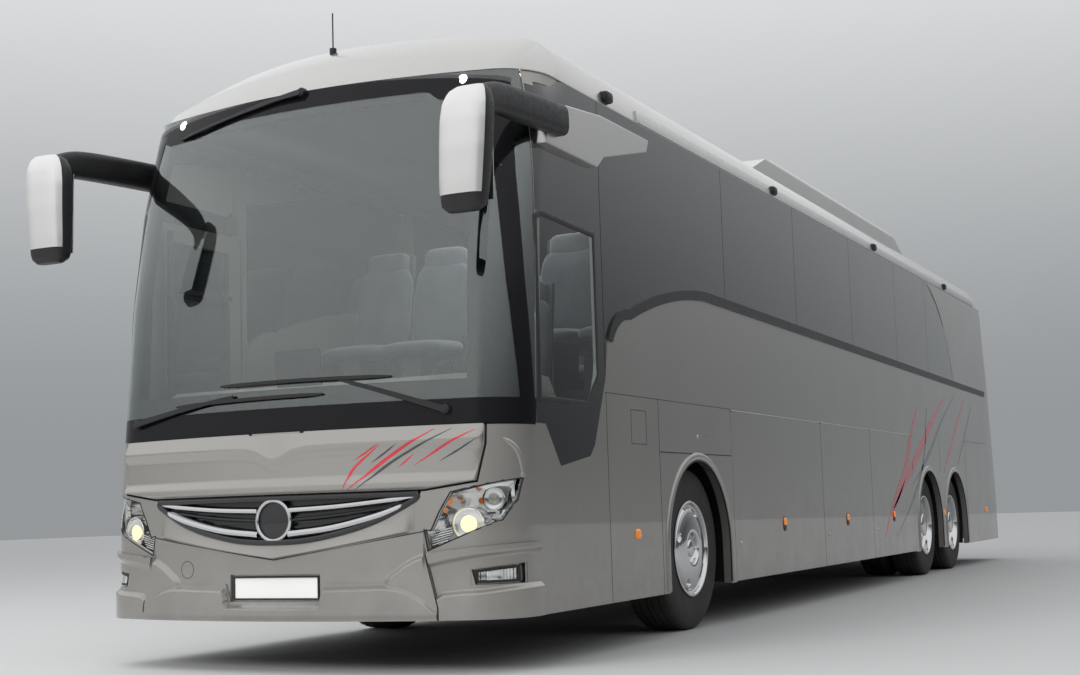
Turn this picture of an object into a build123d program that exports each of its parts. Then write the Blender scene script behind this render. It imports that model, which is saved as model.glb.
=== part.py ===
"""A three-axle high-deck touring coach, in millimetres.

+X is the coach's left, -Y its front and +Z up.
The origin is on the ground, under the middle of the box with the mirrors.
A distance is measured rearwards from the front of the bumper, see at().
"""

import os
from math import cos, radians, sin, sqrt, tan

from build123d import *

os.makedirs("parts", exist_ok=True)

# Driving sizes of the coach
LENGTH = 13935.0
HALF_WIDTH = 1275.0
MIRROR_AHEAD = 310.0
SILL = 262.0
BELT = 1430.0
RAIL = 3110.0
ROOF_TOP = 3450.0
DECK_TOP = 1480.0
DECK = 60.0
CAB_FLOOR = 1000.0
FRONT_AXLE = 2835.0
DRIVE_AXLE = LENGTH - 4190
TAG_AXLE = DRIVE_AXLE + 1350
NOSE = -(LENGTH - MIRROR_AHEAD) / 2

# Thicknesses and gaps
WALL = 55.0
GLASS = 8.0
SEAT_GAP = 0.3
PANE_GAP = 4.0
FLAP_GAP = 8.0
FRONT_FLAP_GAP = 10.5
FLAP = 40.0
DOOR = 45.0
ROOF = 55.0

# Plan of the body: a bowed nose and tail, joined to the sides by round corners
NOSE_RADIUS = 4000.0
FRONT_CORNER = 300.0
TAIL_RADIUS = 8000.0
REAR_CORNER = 280.0
SHOULDER = 300.0
ROOF_EDGE = 1260.0

# Side profile of the nose and tail. Columns: height where the slope starts, lean in degrees
NOSE_SLOPES = [(SILL, 0), (850, 5.2), (2000, 9.5), (2600, 16), (RAIL, 36), (3290, 60)]
TAIL_SLOPES = [(SILL, 0), (850, 7.9), (2300, 14.2), (RAIL, 42), (3280, 65)]
NOSE_CAP_FROM = 3
TAIL_CAP_FROM = 2

# Places along the side, as distances
FRONT_SEAM = 489.0
SCREEN_SEAM_TOP = 585.0
TAIL_SEAM = LENGTH - 685
GLASS_BOTTOM = 1226.0
FRONT_DOOR = (566, 1379, 330, 2560)
MID_DOOR = (DRIVE_AXLE - 2415, DRIVE_AXLE - 1515, 330, 2050)
LUGGAGE_LEFT = [(3502, 5714), (5714, 7314), (7314, DRIVE_AXLE - 760)]
LUGGAGE_RIGHT = [(3502, 5400), (5400, MID_DOOR[0] - 80)]
POSTS = [1390, 3500, 5200, 6900, DRIVE_AXLE - 1145, DRIVE_AXLE + 255]
POST_WIDTH = 90.0

# Wheels and axles
HUB_HEIGHT = 512.0
TYRE_RADIUS = 512.0
TYRE_WIDTH = 295.0
TRACK_OUTER = 1208.0
TWIN_STEP = 335.0
ARCH_RADIUS = 564.0
KINGPIN_X = 905.0
KINGPIN_RADIUS = 18.0
SPINDLE_RADIUS = 45.0
RUNNING = 0.3
RAIL_INNER = 420.3
RAIL_OUTER = 490.0
RAIL_LOW = 640.0
RAIL_HIGH = 760.0


def at(distance):
    """The Y of a distance behind the bumper's front."""
    return NOSE + distance


def save(piece, label):
    """Label a finished piece and write its STEP file."""
    piece.label = label
    export_step(piece, f"parts/{label}.step")


def slope_points(slopes, distance, turn):
    """The slopes as (distance, height, lean), each starting where the last one ends."""
    points = []
    for (height, lean), (next_height, _) in zip(slopes, slopes[1:] + [(ROOF_TOP, 0)]):
        points.append((distance, height, lean))
        distance += turn * (next_height - height) * tan(radians(lean))
    return points


NOSE_FACETS = slope_points(NOSE_SLOPES, 0.0, 1)
TAIL_FACETS = slope_points(TAIL_SLOPES, LENGTH, -1)


def nose_at(height):
    """The nose's distance at a height, in the middle of the coach."""
    low = [facet for facet in NOSE_FACETS if facet[1] <= height][-1]
    return low[0] + (height - low[1]) * tan(radians(low[2]))


def end_facet(distance, height, lean, radius, corner, inset, rear):
    """Everything behind one leaning, bowed end face with its two round corners."""
    turn = -1 if rear else 1
    up = (0, turn * sin(radians(lean)), cos(radians(lean)))
    side = HALF_WIDTH - inset
    bow = radius - inset
    round_off = corner - inset
    centre_x = side - round_off
    centre_y = radius - sqrt((bow - round_off) ** 2 - centre_x**2)
    along = Vector(centre_x, centre_y - radius).normalized()
    middle = (along + Vector(1, 0)).normalized()
    bow_end = Vector(centre_x, centre_y) + along * round_off
    corner_middle = Vector(centre_x, centre_y) + middle * round_off
    with BuildPart() as facet:
        with BuildSketch(Plane(origin=(0, at(distance), height), x_dir=(turn, 0, 0), z_dir=up)):
            with BuildLine():
                ThreePointArc((-bow_end.X, bow_end.Y), (0, inset), (bow_end.X, bow_end.Y))
                ThreePointArc((bow_end.X, bow_end.Y), (corner_middle.X, corner_middle.Y), (side, centre_y))
                Polyline((side, centre_y), (side, LENGTH), (-side, LENGTH), (-side, centre_y))
                ThreePointArc((-side, centre_y), (-corner_middle.X, corner_middle.Y), (-bow_end.X, bow_end.Y))
            make_face()
        extrude(amount=16000, both=True)
    return facet.part


def body_form(inset):
    """The body from sill to rail as a solid, set in by a distance."""
    with BuildPart() as form:
        with Locations((0, at(LENGTH / 2), SILL - inset)):
            Box(
                2 * (HALF_WIDTH - inset),
                LENGTH + 200,
                RAIL - SILL + 2 * inset,
                align=(Align.CENTER, Align.CENTER, Align.MIN),
            )
        for distance, height, lean in NOSE_FACETS[: NOSE_CAP_FROM + 1]:
            add(end_facet(distance, height, lean, NOSE_RADIUS, FRONT_CORNER, inset, False), mode=Mode.INTERSECT)
        for distance, height, lean in TAIL_FACETS[: TAIL_CAP_FROM + 1]:
            add(end_facet(distance, height, lean, TAIL_RADIUS, REAR_CORNER, inset, True), mode=Mode.INTERSECT)
    return form.part


def roof_form(inset):
    """The roof above the rail as a solid, set in and down by a distance."""
    edge = ROOF_EDGE - inset
    shoulder = SHOULDER - inset
    base = RAIL - 100 - inset
    turn_x = ROOF_EDGE - SHOULDER
    crown = ROOF_TOP - inset
    with BuildPart() as form:
        with BuildSketch(Plane.XZ.offset(-at(LENGTH + 100))):
            with BuildLine():
                Line((-edge, base), (edge, base))
                Line((edge, base), (edge, RAIL))
                ThreePointArc(
                    (edge, RAIL),
                    (turn_x + shoulder * cos(radians(45)), RAIL + shoulder * sin(radians(45))),
                    (turn_x, RAIL + shoulder),
                )
                ThreePointArc((turn_x, RAIL + shoulder), (0, crown), (-turn_x, RAIL + shoulder))
                ThreePointArc(
                    (-turn_x, RAIL + shoulder),
                    (-turn_x - shoulder * cos(radians(45)), RAIL + shoulder * sin(radians(45))),
                    (-edge, RAIL),
                )
                Line((-edge, RAIL), (-edge, base))
            make_face()
        extrude(amount=LENGTH + 200)
        for distance, height, lean in NOSE_FACETS[NOSE_CAP_FROM:]:
            add(end_facet(distance, height, lean, NOSE_RADIUS, FRONT_CORNER, inset, False), mode=Mode.INTERSECT)
        for distance, height, lean in TAIL_FACETS[TAIL_CAP_FROM:]:
            add(end_facet(distance, height, lean, TAIL_RADIUS, REAR_CORNER, inset, True), mode=Mode.INTERSECT)
    return form.part


def side_block(outline, x_low, x_high):
    """A block along X from a side-view outline of (distance, height)."""
    with BuildPart() as block:
        with BuildSketch(Plane.YZ.offset(x_low)):
            with BuildLine():
                Polyline(*[(at(d), z) for d, z in outline], close=True)
            make_face()
        extrude(amount=x_high - x_low)
    return block.part


def front_block(outline, d_low, d_high, step=0.0):
    """A block along Y from a front-view outline of (x, height), grown by a step."""
    with BuildPart() as block:
        with BuildSketch(Plane.XZ.offset(-at(d_high))):
            with BuildLine():
                Polyline(*outline, close=True)
            make_face()
            if step:
                offset(amount=step, kind=Kind.INTERSECTION)
        extrude(amount=d_high - d_low)
    return block.part


def rod(start, end, radius):
    """A round rod between two points."""
    way = Vector(*end) - Vector(*start)
    with BuildPart() as piece:
        with BuildSketch(Plane(origin=start, z_dir=way)):
            Circle(radius)
        extrude(amount=way.length)
    return piece.part


def rectangle(low, high, z_low, z_high):
    """Corner points of an upright rectangle."""
    return [(low, z_low), (high, z_low), (high, z_high), (low, z_high)]


def both(outline):
    """A front-view outline given from the middle outwards on the left, closed by its mirror image."""
    return outline + [(-x, z) for x, z in reversed(outline) if x]


def flipped(outline):
    """A front-view outline on the other side."""
    return [(-x, z) for x, z in outline]


SPAN = {1: (600, 1500), -1: (-1500, -600)}
ARM_FACE = 34.0
MOULDING = 12.0
SLAT_BACK = 32.0
BLADE_FACE = 20.0
FLAP_SKIN = 14.0
LAMP_FACE = 18.0
LAMP_BACK = 22.0
INSETS = [0, GLASS, GLASS + SEAT_GAP, FLAP_SKIN, LAMP_FACE, LAMP_BACK, LAMP_BACK + SEAT_GAP, DOOR, WALL]
INSETS += [WALL + SEAT_GAP, -SEAT_GAP, -BLADE_FACE, -ARM_FACE, -MOULDING, SLAT_BACK]
forms = {inset: body_form(inset) for inset in INSETS}


def skin(near, far, block):
    """What a block cuts out of the layer between two forms."""
    with BuildPart() as layer:
        add(block)
        add(forms[near], mode=Mode.INTERSECT)
        add(forms[far], mode=Mode.SUBTRACT)
    return layer.part


# The glazed band of one side: quarter glass, driver's window, spike and side panes
SPIKE = [(FRONT_SEAM + 4, GLASS_BOTTOM), (600, GLASS_BOTTOM), (770, 1010), (1151, 1069), (1215, 1130)]
SWOOSH_BEND = [(1430, 1740), (1530, 1862), (1750, 1935)]
SWOOSH_RISE = [(1750, 1935), (2307, 2090), (3100, 2190)]
GLASS_END = [(LENGTH - 2605, 2100), (LENGTH - 2955, 2640), (LENGTH - 3835, RAIL - 5)]
PANE_MIDDLE = 2200.0


def glazing_block(inset, side, posts=()):
    """The glazed band as a block across one side, without the posts."""
    x_low, x_high = SPAN[side]
    with BuildPart() as block:
        with BuildSketch(Plane.YZ.offset(x_low)):
            with BuildLine():
                Polyline(*[(at(d), z) for d, z in [*SPIKE, (1391, 1510), SWOOSH_BEND[0]]])
                ThreePointArc(*[(at(d), z) for d, z in SWOOSH_BEND])
                ThreePointArc(*[(at(d), z) for d, z in SWOOSH_RISE])
                Line(*[(at(d), z) for d, z in (SWOOSH_RISE[2], GLASS_END[0])])
                ThreePointArc(*[(at(d), z) for d, z in GLASS_END])
                Polyline(*[(at(d), z) for d, z in (GLASS_END[2], (SCREEN_SEAM_TOP + 4, RAIL - 5), SPIKE[0])])
            make_face()
            if inset:
                offset(amount=-inset, kind=Kind.INTERSECTION)
            for post in posts:
                with Locations((at(post), PANE_MIDDLE)):
                    Rectangle(POST_WIDTH, 2600, mode=Mode.SUBTRACT)
        extrude(amount=x_high - x_low)
    return block.part


# Side walls with their arches, bays, doors and windows

HINGE_RADIUS = 5.0
HINGE_Z = BELT - 7.0
EAR = 20.0
BEAD_CLEAR = 0.5
FLAP_ROUND = 6.0
SKIRT = 270.0
WINDOW_BORDER = 60.0
HEADER_SEAM = RAIL - 5 - WINDOW_BORDER
WAIST_SEAM = 2260.0
REAR_SEAM = DRIVE_AXLE + 586
PANEL_SEAMS = {
    1: [2171, 3502, LUGGAGE_LEFT[-1][1], REAR_SEAM],
    -1: [2171, 3502, MID_DOOR[0] - FLAP_GAP - SEAT_GAP, MID_DOOR[1] + FLAP_GAP, REAR_SEAM],
}
SIDE_OUTLINE = [
    (FRONT_SEAM, SILL),
    (TAIL_SEAM, SILL),
    (TAIL_SEAM, RAIL),
    (SCREEN_SEAM_TOP, RAIL),
    (FRONT_SEAM, GLASS_BOTTOM),
]


def side_wall(side, luggage, doors):
    """One side of the body."""
    x_low, x_high = SPAN[side]
    with BuildPart() as wall:
        add(skin(0, WALL, side_block(SIDE_OUTLINE, x_low, x_high)))
        with BuildPart(mode=Mode.PRIVATE) as pocket:
            add(glazing_block(0, side))
            add(forms[GLASS + SEAT_GAP], mode=Mode.SUBTRACT)
        add(pocket.part, mode=Mode.SUBTRACT)
        add(glazing_block(WINDOW_BORDER, side, POSTS), mode=Mode.SUBTRACT)
        bay = rectangle(luggage[0][0], luggage[-1][1], SILL - 5, BELT)
        add(side_block(bay, x_low, x_high), mode=Mode.SUBTRACT)
        for start, end, low, high in doors:
            hole = rectangle(start - FLAP_GAP, end + FLAP_GAP, SILL - 5, high + FLAP_GAP)
            add(side_block(hole, x_low, x_high), mode=Mode.SUBTRACT)
        with BuildSketch(Plane.YZ.offset(x_low)):
            for axle in (FRONT_AXLE, DRIVE_AXLE, TAG_AXLE):
                with Locations((at(axle), HUB_HEIGHT)):
                    Circle(ARCH_RADIUS)
                with Locations((at(axle), HUB_HEIGHT / 2)):
                    Rectangle(2 * ARCH_RADIUS, HUB_HEIGHT)
        extrude(amount=x_high - x_low, mode=Mode.SUBTRACT)
        for start, end in luggage:
            for ear in (start + FLAP_GAP / 2, end - FLAP_GAP / 2 - EAR):
                x = side * HALF_WIDTH
                add(rod((x, at(ear), HINGE_Z), (x, at(ear + EAR), HINGE_Z), HINGE_RADIUS))
                with Locations((side * (HALF_WIDTH - HINGE_RADIUS), at(ear + EAR / 2), HINGE_Z + HINGE_RADIUS)):
                    Box(2 * HINGE_RADIUS, EAR, 2 * HINGE_RADIUS)
        for seam in PANEL_SEAMS[side]:
            slit = rectangle(seam, seam + SEAT_GAP, SILL - 5, RAIL + 5)
            add(side_block(slit, x_low, x_high), mode=Mode.SUBTRACT)
        for seam in (WAIST_SEAM, HEADER_SEAM):
            add(side_block(rectangle(0, LENGTH, seam, seam + SEAT_GAP), x_low, x_high), mode=Mode.SUBTRACT)
    return wall.part


save(side_wall(1, LUGGAGE_LEFT, []), "side_wall_left")
save(side_wall(-1, LUGGAGE_RIGHT, [FRONT_DOOR, MID_DOOR]), "side_wall_right")

for side, name in ((1, "side_glass_left"), (-1, "side_glass_right")):
    with BuildPart() as panes:
        add(skin(0, GLASS, glazing_block(PANE_GAP, side)))
        if side < 0:
            start, end, low, high = FRONT_DOOR
            hole = rectangle(start - FLAP_GAP, end + FLAP_GAP, SILL, high + FLAP_GAP)
            add(side_block(hole, *SPAN[side]), mode=Mode.SUBTRACT)
            slit = rectangle(0, start, high + FLAP_GAP - PANE_GAP, high + FLAP_GAP)
            add(side_block(slit, *SPAN[side]), mode=Mode.SUBTRACT)
        for post in POSTS:
            with Locations((side * HALF_WIDTH, at(post), PANE_MIDDLE)):
                Box(200, 6, 2600, mode=Mode.SUBTRACT)
    save(panes.part, name)

# Dark mouldings under the side glass, split like the panels behind them

SWOOSH_WIDTH = 62.0
SWOOSH_UNDER_BEND = [(1490, 1722), (1578, 1818), (1770, 1876)]
SWOOSH_UNDER_RISE = [(1770, 1876), (2318, 2029), (3100, 2190 - SWOOSH_WIDTH)]
SWOOSH_END = [(LENGTH - 760, 2080), (LENGTH - 760, 2080 - SWOOSH_WIDTH)]


def swoosh_block(side):
    """The moulding's long curve as a block across one side."""
    x_low, x_high = SPAN[side]
    with BuildPart() as block:
        with BuildSketch(Plane.YZ.offset(x_low)):
            with BuildLine():
                ThreePointArc(*[(at(d), z) for d, z in SWOOSH_BEND])
                ThreePointArc(*[(at(d), z) for d, z in SWOOSH_RISE])
                lower = (SWOOSH_RISE[2], GLASS_END[0], *SWOOSH_END, SWOOSH_UNDER_RISE[2])
                Polyline(*[(at(d), z) for d, z in lower])
                ThreePointArc(*[(at(d), z) for d, z in reversed(SWOOSH_UNDER_RISE)])
                ThreePointArc(*[(at(d), z) for d, z in reversed(SWOOSH_UNDER_BEND)])
                Line(*[(at(d), z) for d, z in (SWOOSH_UNDER_BEND[0], SWOOSH_BEND[0])])
            make_face()
        extrude(amount=x_high - x_low)
        for seam in PANEL_SEAMS[side]:
            cut = rectangle(seam, seam + SEAT_GAP, SILL, RAIL)
            add(side_block(cut, x_low, x_high), mode=Mode.SUBTRACT)
    return block.part


with BuildPart() as side_mouldings:
    for side in (1, -1):
        add(skin(-MOULDING, -SEAT_GAP, swoosh_block(side)))
save(side_mouldings.part, "side_mouldings")

# Luggage flaps, hung on an outside hinge bead under the belt

for side, side_name, luggage in ((1, "left", LUGGAGE_LEFT), (-1, "right", LUGGAGE_RIGHT)):
    for number, (start, end) in enumerate(luggage, 1):
        low, high = start + FLAP_GAP / 2, end - FLAP_GAP / 2
        bead = (low + EAR + BEAD_CLEAR, high - EAR - BEAD_CLEAR)
        x = side * HALF_WIDTH
        with BuildPart() as flap:
            inside = x - side * FLAP
            add(side_block(rectangle(low, high, SKIRT, BELT - 10), min(x, inside), max(x, inside)))
            fillet(flap.edges().filter_by(Axis.X), FLAP_ROUND)
            add(rod((x, at(bead[0]), HINGE_Z), (x, at(bead[1]), HINGE_Z), HINGE_RADIUS))
            for ear in (low, bead[1]):
                with Locations((x, at(ear + (EAR + BEAD_CLEAR) / 2), HINGE_Z)):
                    Box(24, EAR + BEAD_CLEAR, 22, mode=Mode.SUBTRACT)
        save(flap.part, f"luggage_flap_{side_name}_{number}")

# Doors: a leaf on two swinging arms, which keep it parallel to the side

ARM_X = -1190.0
ARM_INSET = 85.0
ARM_LENGTH = 560.0
ARM_HEIGHTS = {"front": (700, 2150), "mid": (700, 1800)}
POST_RADIUS = 20.0
PIN_RADIUS = 10.0
PIN_REACH = 30.0
LUG_STEP = 27.0
EYE_RADIUS = 18.0
EYE_HALF = 15.0
DOOR_BORDER = 110.0
DOOR_SILL = 1340.0
PANE_CLEAR = 0.4
POST_FOOT = 370.0 + SEAT_GAP
for name, door, turn in (("front", FRONT_DOOR, 1), ("mid", MID_DOOR, -1)):
    start, end, low, high = door
    pivot = start + ARM_INSET if turn > 0 else end - ARM_INSET
    eye = pivot + turn * ARM_LENGTH
    window = (start + DOOR_BORDER, end - DOOR_BORDER, DOOR_SILL, high - DOOR_BORDER)
    with BuildPart() as leaf:
        add(skin(0, DOOR, side_block(rectangle(start, end, low, high), *SPAN[-1])))
        add(side_block(rectangle(*window), *SPAN[-1]), mode=Mode.SUBTRACT)
        for height in ARM_HEIGHTS[name]:
            for lug in (-LUG_STEP, LUG_STEP):
                with Locations((-1205, at(eye), height + lug)):
                    Box(52, 44, 16)
            add(rod((ARM_X, at(eye), height - PIN_REACH), (ARM_X, at(eye), height + PIN_REACH), PIN_RADIUS))
    save(leaf.part, f"door_{name}")
    with BuildPart() as pane:
        left, right, bottom, top = window
        clear = rectangle(left + PANE_CLEAR, right - PANE_CLEAR, bottom + PANE_CLEAR, top - PANE_CLEAR)
        add(skin(0, GLASS, side_block(clear, *SPAN[-1])))
    save(pane.part, f"door_glass_{name}")
    with BuildPart() as arm:
        add(rod((ARM_X, at(pivot), POST_FOOT), (ARM_X, at(pivot), high - 60), POST_RADIUS))
        for height in ARM_HEIGHTS[name]:
            with Locations((ARM_X, at((pivot + eye) / 2), height)):
                Box(26, ARM_LENGTH, 2 * EYE_HALF)
            add(rod((ARM_X, at(eye), height - EYE_HALF), (ARM_X, at(eye), height + EYE_HALF), EYE_RADIUS))
            ends = [(ARM_X, at(eye), height + way * (EYE_HALF + 5)) for way in (-1, 1)]
            hole = rod(*ends, PIN_RADIUS + RUNNING)
            add(hole, mode=Mode.SUBTRACT)
    save(arm.part, f"door_arm_{name}")

# Roof with its air conditioning unit and escape hatches

with BuildPart() as roof:
    add(roof_form(0))
    add(roof_form(ROOF), mode=Mode.SUBTRACT)
    with Locations((0, 0, RAIL + SEAT_GAP)):
        Box(3 * HALF_WIDTH, 2 * LENGTH, 500, align=(Align.CENTER, Align.CENTER, Align.MIN), mode=Mode.INTERSECT)
save(roof.part, "roof")

AC_START, AC_END = 5250, 10650
AC_HALF = 940.0
AC_FOOT = 30.0
AC_TOP = 3680.0
AC_OUTLINE = [
    (AC_START, ROOF_TOP + 25),
    (AC_START + 420, AC_TOP - 40),
    (AC_START + 700, AC_TOP),
    (AC_END - 900, AC_TOP),
    (AC_END - 450, AC_TOP - 50),
    (AC_END, ROOF_TOP + 25),
]
with BuildPart() as ac_unit:
    add(side_block(AC_OUTLINE, -AC_HALF, AC_HALF))
    fillet(ac_unit.edges().filter_by(Axis.Y).group_by(Axis.Z)[-1], 60)
    with Locations((0, at((AC_START + AC_END) / 2), ROOF_TOP + AC_FOOT)):
        Box(700, AC_END - AC_START - 400, 2 * (AC_FOOT - SEAT_GAP))
save(ac_unit.part, "ac_unit")

GUTTER = (RAIL + 5, RAIL + 80)
GUTTER_SPAN = (2018, LENGTH - 1097)
GUTTER_PROUD = 14.0
HATCH = (700, 640, 45)
roof_clear = roof_form(-SEAT_GAP)
with BuildPart() as roof_rails:
    for side in (1, -1):
        add(side_block(rectangle(*GUTTER_SPAN, *GUTTER), *SPAN[side]))
    add(roof_form(-GUTTER_PROUD), mode=Mode.INTERSECT)
    add(roof_clear, mode=Mode.SUBTRACT)
save(roof_rails.part, "roof_rails")

HATCHES = (3300, LENGTH - 2335)
AERIAL = (-60.0, 710.0, 3660.0)
with BuildPart() as roof_hatches:
    aerial_x, aerial_d, aerial_top = AERIAL
    add(rod((aerial_x, at(aerial_d), ROOF_TOP - 60), (aerial_x, at(aerial_d), ROOF_TOP), 20))
    add(rod((aerial_x, at(aerial_d), ROOF_TOP - 40), (aerial_x, at(aerial_d), aerial_top), 4))
    add(roof_clear, mode=Mode.SUBTRACT)
    for distance in HATCHES:
        with BuildSketch(Plane.XY.offset(ROOF_TOP + SEAT_GAP)):
            with Locations((0, at(distance))):
                Rectangle(*HATCH[:2])
        extrude(amount=HATCH[2], taper=20)
save(roof_hatches.part, "roof_hatches")

# Windscreen and its frame

screen_outline = [
    (-100, GLASS_BOTTOM),
    (FRONT_SEAM - 2, GLASS_BOTTOM),
    (SCREEN_SEAM_TOP - 2, RAIL - 5),
    (-100, RAIL - 5),
]
frame_outline = [
    (-100, GLASS_BOTTOM - 9),
    (FRONT_SEAM - SEAT_GAP, GLASS_BOTTOM - 9),
    (FRONT_SEAM - SEAT_GAP, GLASS_BOTTOM),
    (SCREEN_SEAM_TOP - SEAT_GAP, RAIL),
    (-100, RAIL),
]
with BuildPart() as windscreen:
    add(skin(0, GLASS, side_block(screen_outline, -1500, 1500)))
save(windscreen.part, "windscreen")

SCREEN_CLEAR = [(1040, BELT + 20), (1010, 2960)]
FLAP_HINGE_Z = GLASS_BOTTOM - 8
FLAP_HINGE_D = nose_at(FLAP_HINGE_Z)
BEAD = 150.0
EAR_END = BEAD + 19.0


def flap_ears(distance, height, way):
    """Two ears that hold a top-hinged flap's bead, as a piece of the frame around it."""
    with BuildPart() as ears:
        for low, high in ((-EAR_END, -BEAD - SEAT_GAP), (BEAD + SEAT_GAP, EAR_END)):
            add(rod((low, at(distance), height), (high, at(distance), height), HINGE_RADIUS))
            with Locations(((low + high) / 2, at(distance) + way * 20, height + 3)):
                Box(high - low, 40, 6)
    return ears.part


with BuildPart() as windscreen_frame:
    add(skin(GLASS + SEAT_GAP, WALL, side_block(frame_outline, -1500, 1500)))
    add(front_block(both(SCREEN_CLEAR), -100, 900), mode=Mode.SUBTRACT)
    add(flap_ears(FLAP_HINGE_D, FLAP_HINGE_Z, 1))
save(windscreen_frame.part, "windscreen_frame")

# Front mask, flap, grille, lamps and bumper, in front view

TIP = (824, 899)
LAMP = [(838, 705), (872, 700), (915, 790), (972, 887), (1262, 950), (1250, 839), (1201, 743), (856, 602)]
BUMPER_LINE = [(1400, 644), (856, 598), (838, 698), (0, 572)]
FLAP_SHAPE = [(1128, GLASS_BOTTOM - 12), (1128, 1120), (1095, 941), (840, 905)]
FRONT = (-100, FRONT_SEAM - SEAT_GAP)


def grille_block(step):
    """The grille's smile as a block along the coach, grown by a step."""
    with BuildPart() as block:
        with BuildSketch(Plane.XZ.offset(-at(FRONT[1]))):
            with BuildLine():
                Line((-TIP[0], TIP[1]), TIP)
                ThreePointArc(TIP, (812, 862), (770, 832))
                ThreePointArc((770, 832), (0, 648), (-770, 832))
                ThreePointArc((-770, 832), (-812, 862), (-TIP[0], TIP[1]))
            make_face()
            if step:
                offset(amount=step, kind=Kind.INTERSECTION)
        extrude(amount=FRONT[1] - FRONT[0])
    return block.part


def bar(start, end, width):
    """A straight bar in front view as a block along the coach."""
    way = (Vector(*end) - Vector(*start)).normalized()
    side = Vector(-way.Y, way.X) * (width / 2)
    corners = [Vector(*start) + side, Vector(*start) - side, Vector(*end) - side, Vector(*end) + side]
    return front_block([(corner.X, corner.Y) for corner in corners], -100, 500)


mask_shape = [(1400, GLASS_BOTTOM - 9.6), *BUMPER_LINE]
with BuildPart() as front_mask:
    add(skin(0, WALL, front_block(both(mask_shape), *FRONT)))
    add(grille_block(SEAT_GAP), mode=Mode.SUBTRACT)
    for lamp in (LAMP, flipped(LAMP)):
        add(front_block(lamp, *FRONT, SEAT_GAP), mode=Mode.SUBTRACT)
    add(front_block(both(FLAP_SHAPE), *FRONT, FRONT_FLAP_GAP), mode=Mode.SUBTRACT)
save(front_mask.part, "front_mask")

with BuildPart() as front_flap:
    add(skin(0, FLAP_SKIN, front_block(both(FLAP_SHAPE), *FRONT)))
    add(rod((-BEAD, at(FLAP_HINGE_D), FLAP_HINGE_Z), (BEAD, at(FLAP_HINGE_D), FLAP_HINGE_Z), HINGE_RADIUS))
    for x in (-BEAD - 10, BEAD + 10):
        with Locations((x, at(FLAP_HINGE_D + 10), FLAP_HINGE_Z)):
            Box(20, 50, 24, mode=Mode.SUBTRACT)
save(front_flap.part, "front_flap")

PLATE_HALF = 260.0
PLATE_HEIGHT = 112.0
PLATE = 6.0
PLATE_RECESS = 24.0
PLATE_Z = 430.0


def plate_recess(d_low, d_high):
    """The shallow recess that a number plate lies in."""
    half = PLATE_HALF + 15
    low, high = PLATE_Z - PLATE_HEIGHT / 2 - 12, PLATE_Z + PLATE_HEIGHT / 2 + 12
    return front_block(rectangle(-half, half, low, high), d_low, d_high)


bumper_shape = [(1400, SILL - 10), *[(x, z - SEAT_GAP) for x, z in BUMPER_LINE]]
LIP = [(845, SILL), (860, 325), (760, 420), (620, 448), (306, 452), (270, 362), (0, 360)]
FOG_POCKET = [(1085, 432), (1068, 505), (1262, 530), (1262, 432)]
BUMPER_SEAM = [(847, 591), (909, 324), (909, SILL - 10)]
with BuildPart() as front_bumper:
    add(skin(0, WALL, front_block(both(bumper_shape), *FRONT)))
    add(skin(-MOULDING, GLASS, front_block(both(LIP), *FRONT)))
    add(plate_recess(-100, PLATE_RECESS), mode=Mode.SUBTRACT)
    for turn in (1, -1):
        pocket_shape = [(turn * x, z) for x, z in FOG_POCKET]
        add(skin(-MOULDING, LAMP_BACK + SEAT_GAP, front_block(pocket_shape, *FRONT)), mode=Mode.SUBTRACT)
        for start, end in zip(BUMPER_SEAM, BUMPER_SEAM[1:]):
            groove = bar((turn * start[0], start[1]), (turn * end[0], end[1]), 5)
            add(skin(-MOULDING, FLAP_SKIN, groove), mode=Mode.SUBTRACT)
save(front_bumper.part, "front_bumper")

# Columns: height at the outer ends, height in the middle, thickness
SLATS = [(880, 800, 30), (812, 640, 34)]
SLAT_REACH = 830.0
GRILLE_RIM = 24.0
DISC_Z = 772.0
DISC_RADIUS = 110.0


def slat_block(end_z, middle_z, thick):
    """A gently curved slat across the grille, as a block along the coach."""
    with BuildPart() as block:
        with BuildSketch(Plane.XZ.offset(-at(FRONT[1]))):
            with BuildLine():
                ThreePointArc((-SLAT_REACH, end_z), (0, middle_z), (SLAT_REACH, end_z))
                Line((SLAT_REACH, end_z), (SLAT_REACH, end_z - thick))
                ThreePointArc((SLAT_REACH, end_z - thick), (0, middle_z - thick), (-SLAT_REACH, end_z - thick))
                Line((-SLAT_REACH, end_z - thick), (-SLAT_REACH, end_z))
            make_face()
        extrude(amount=FRONT[1] - FRONT[0])
    return block.part


with BuildPart() as grille:
    add(skin(SLAT_BACK, DOOR, grille_block(0)))
    with BuildPart(mode=Mode.PRIVATE) as face:
        add(grille_block(0))
        add(grille_block(-GRILLE_RIM), mode=Mode.SUBTRACT)
        for slat in SLATS:
            add(slat_block(*slat))
        add(rod((0, at(-50), DISC_Z), (0, at(100), DISC_Z), DISC_RADIUS))
        add(grille_block(0), mode=Mode.INTERSECT)
    add(skin(LAMP_FACE, DOOR, face.part))
    add(rod((0, at(2), DISC_Z), (0, at(30), DISC_Z), DISC_RADIUS))
    add(rod((0, at(2), DISC_Z), (0, at(9), DISC_Z), DISC_RADIUS - 16), mode=Mode.SUBTRACT)
save(grille.part, "grille")

BOWL_WALL = 7.0
FOG_INSET = 12.0
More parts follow.
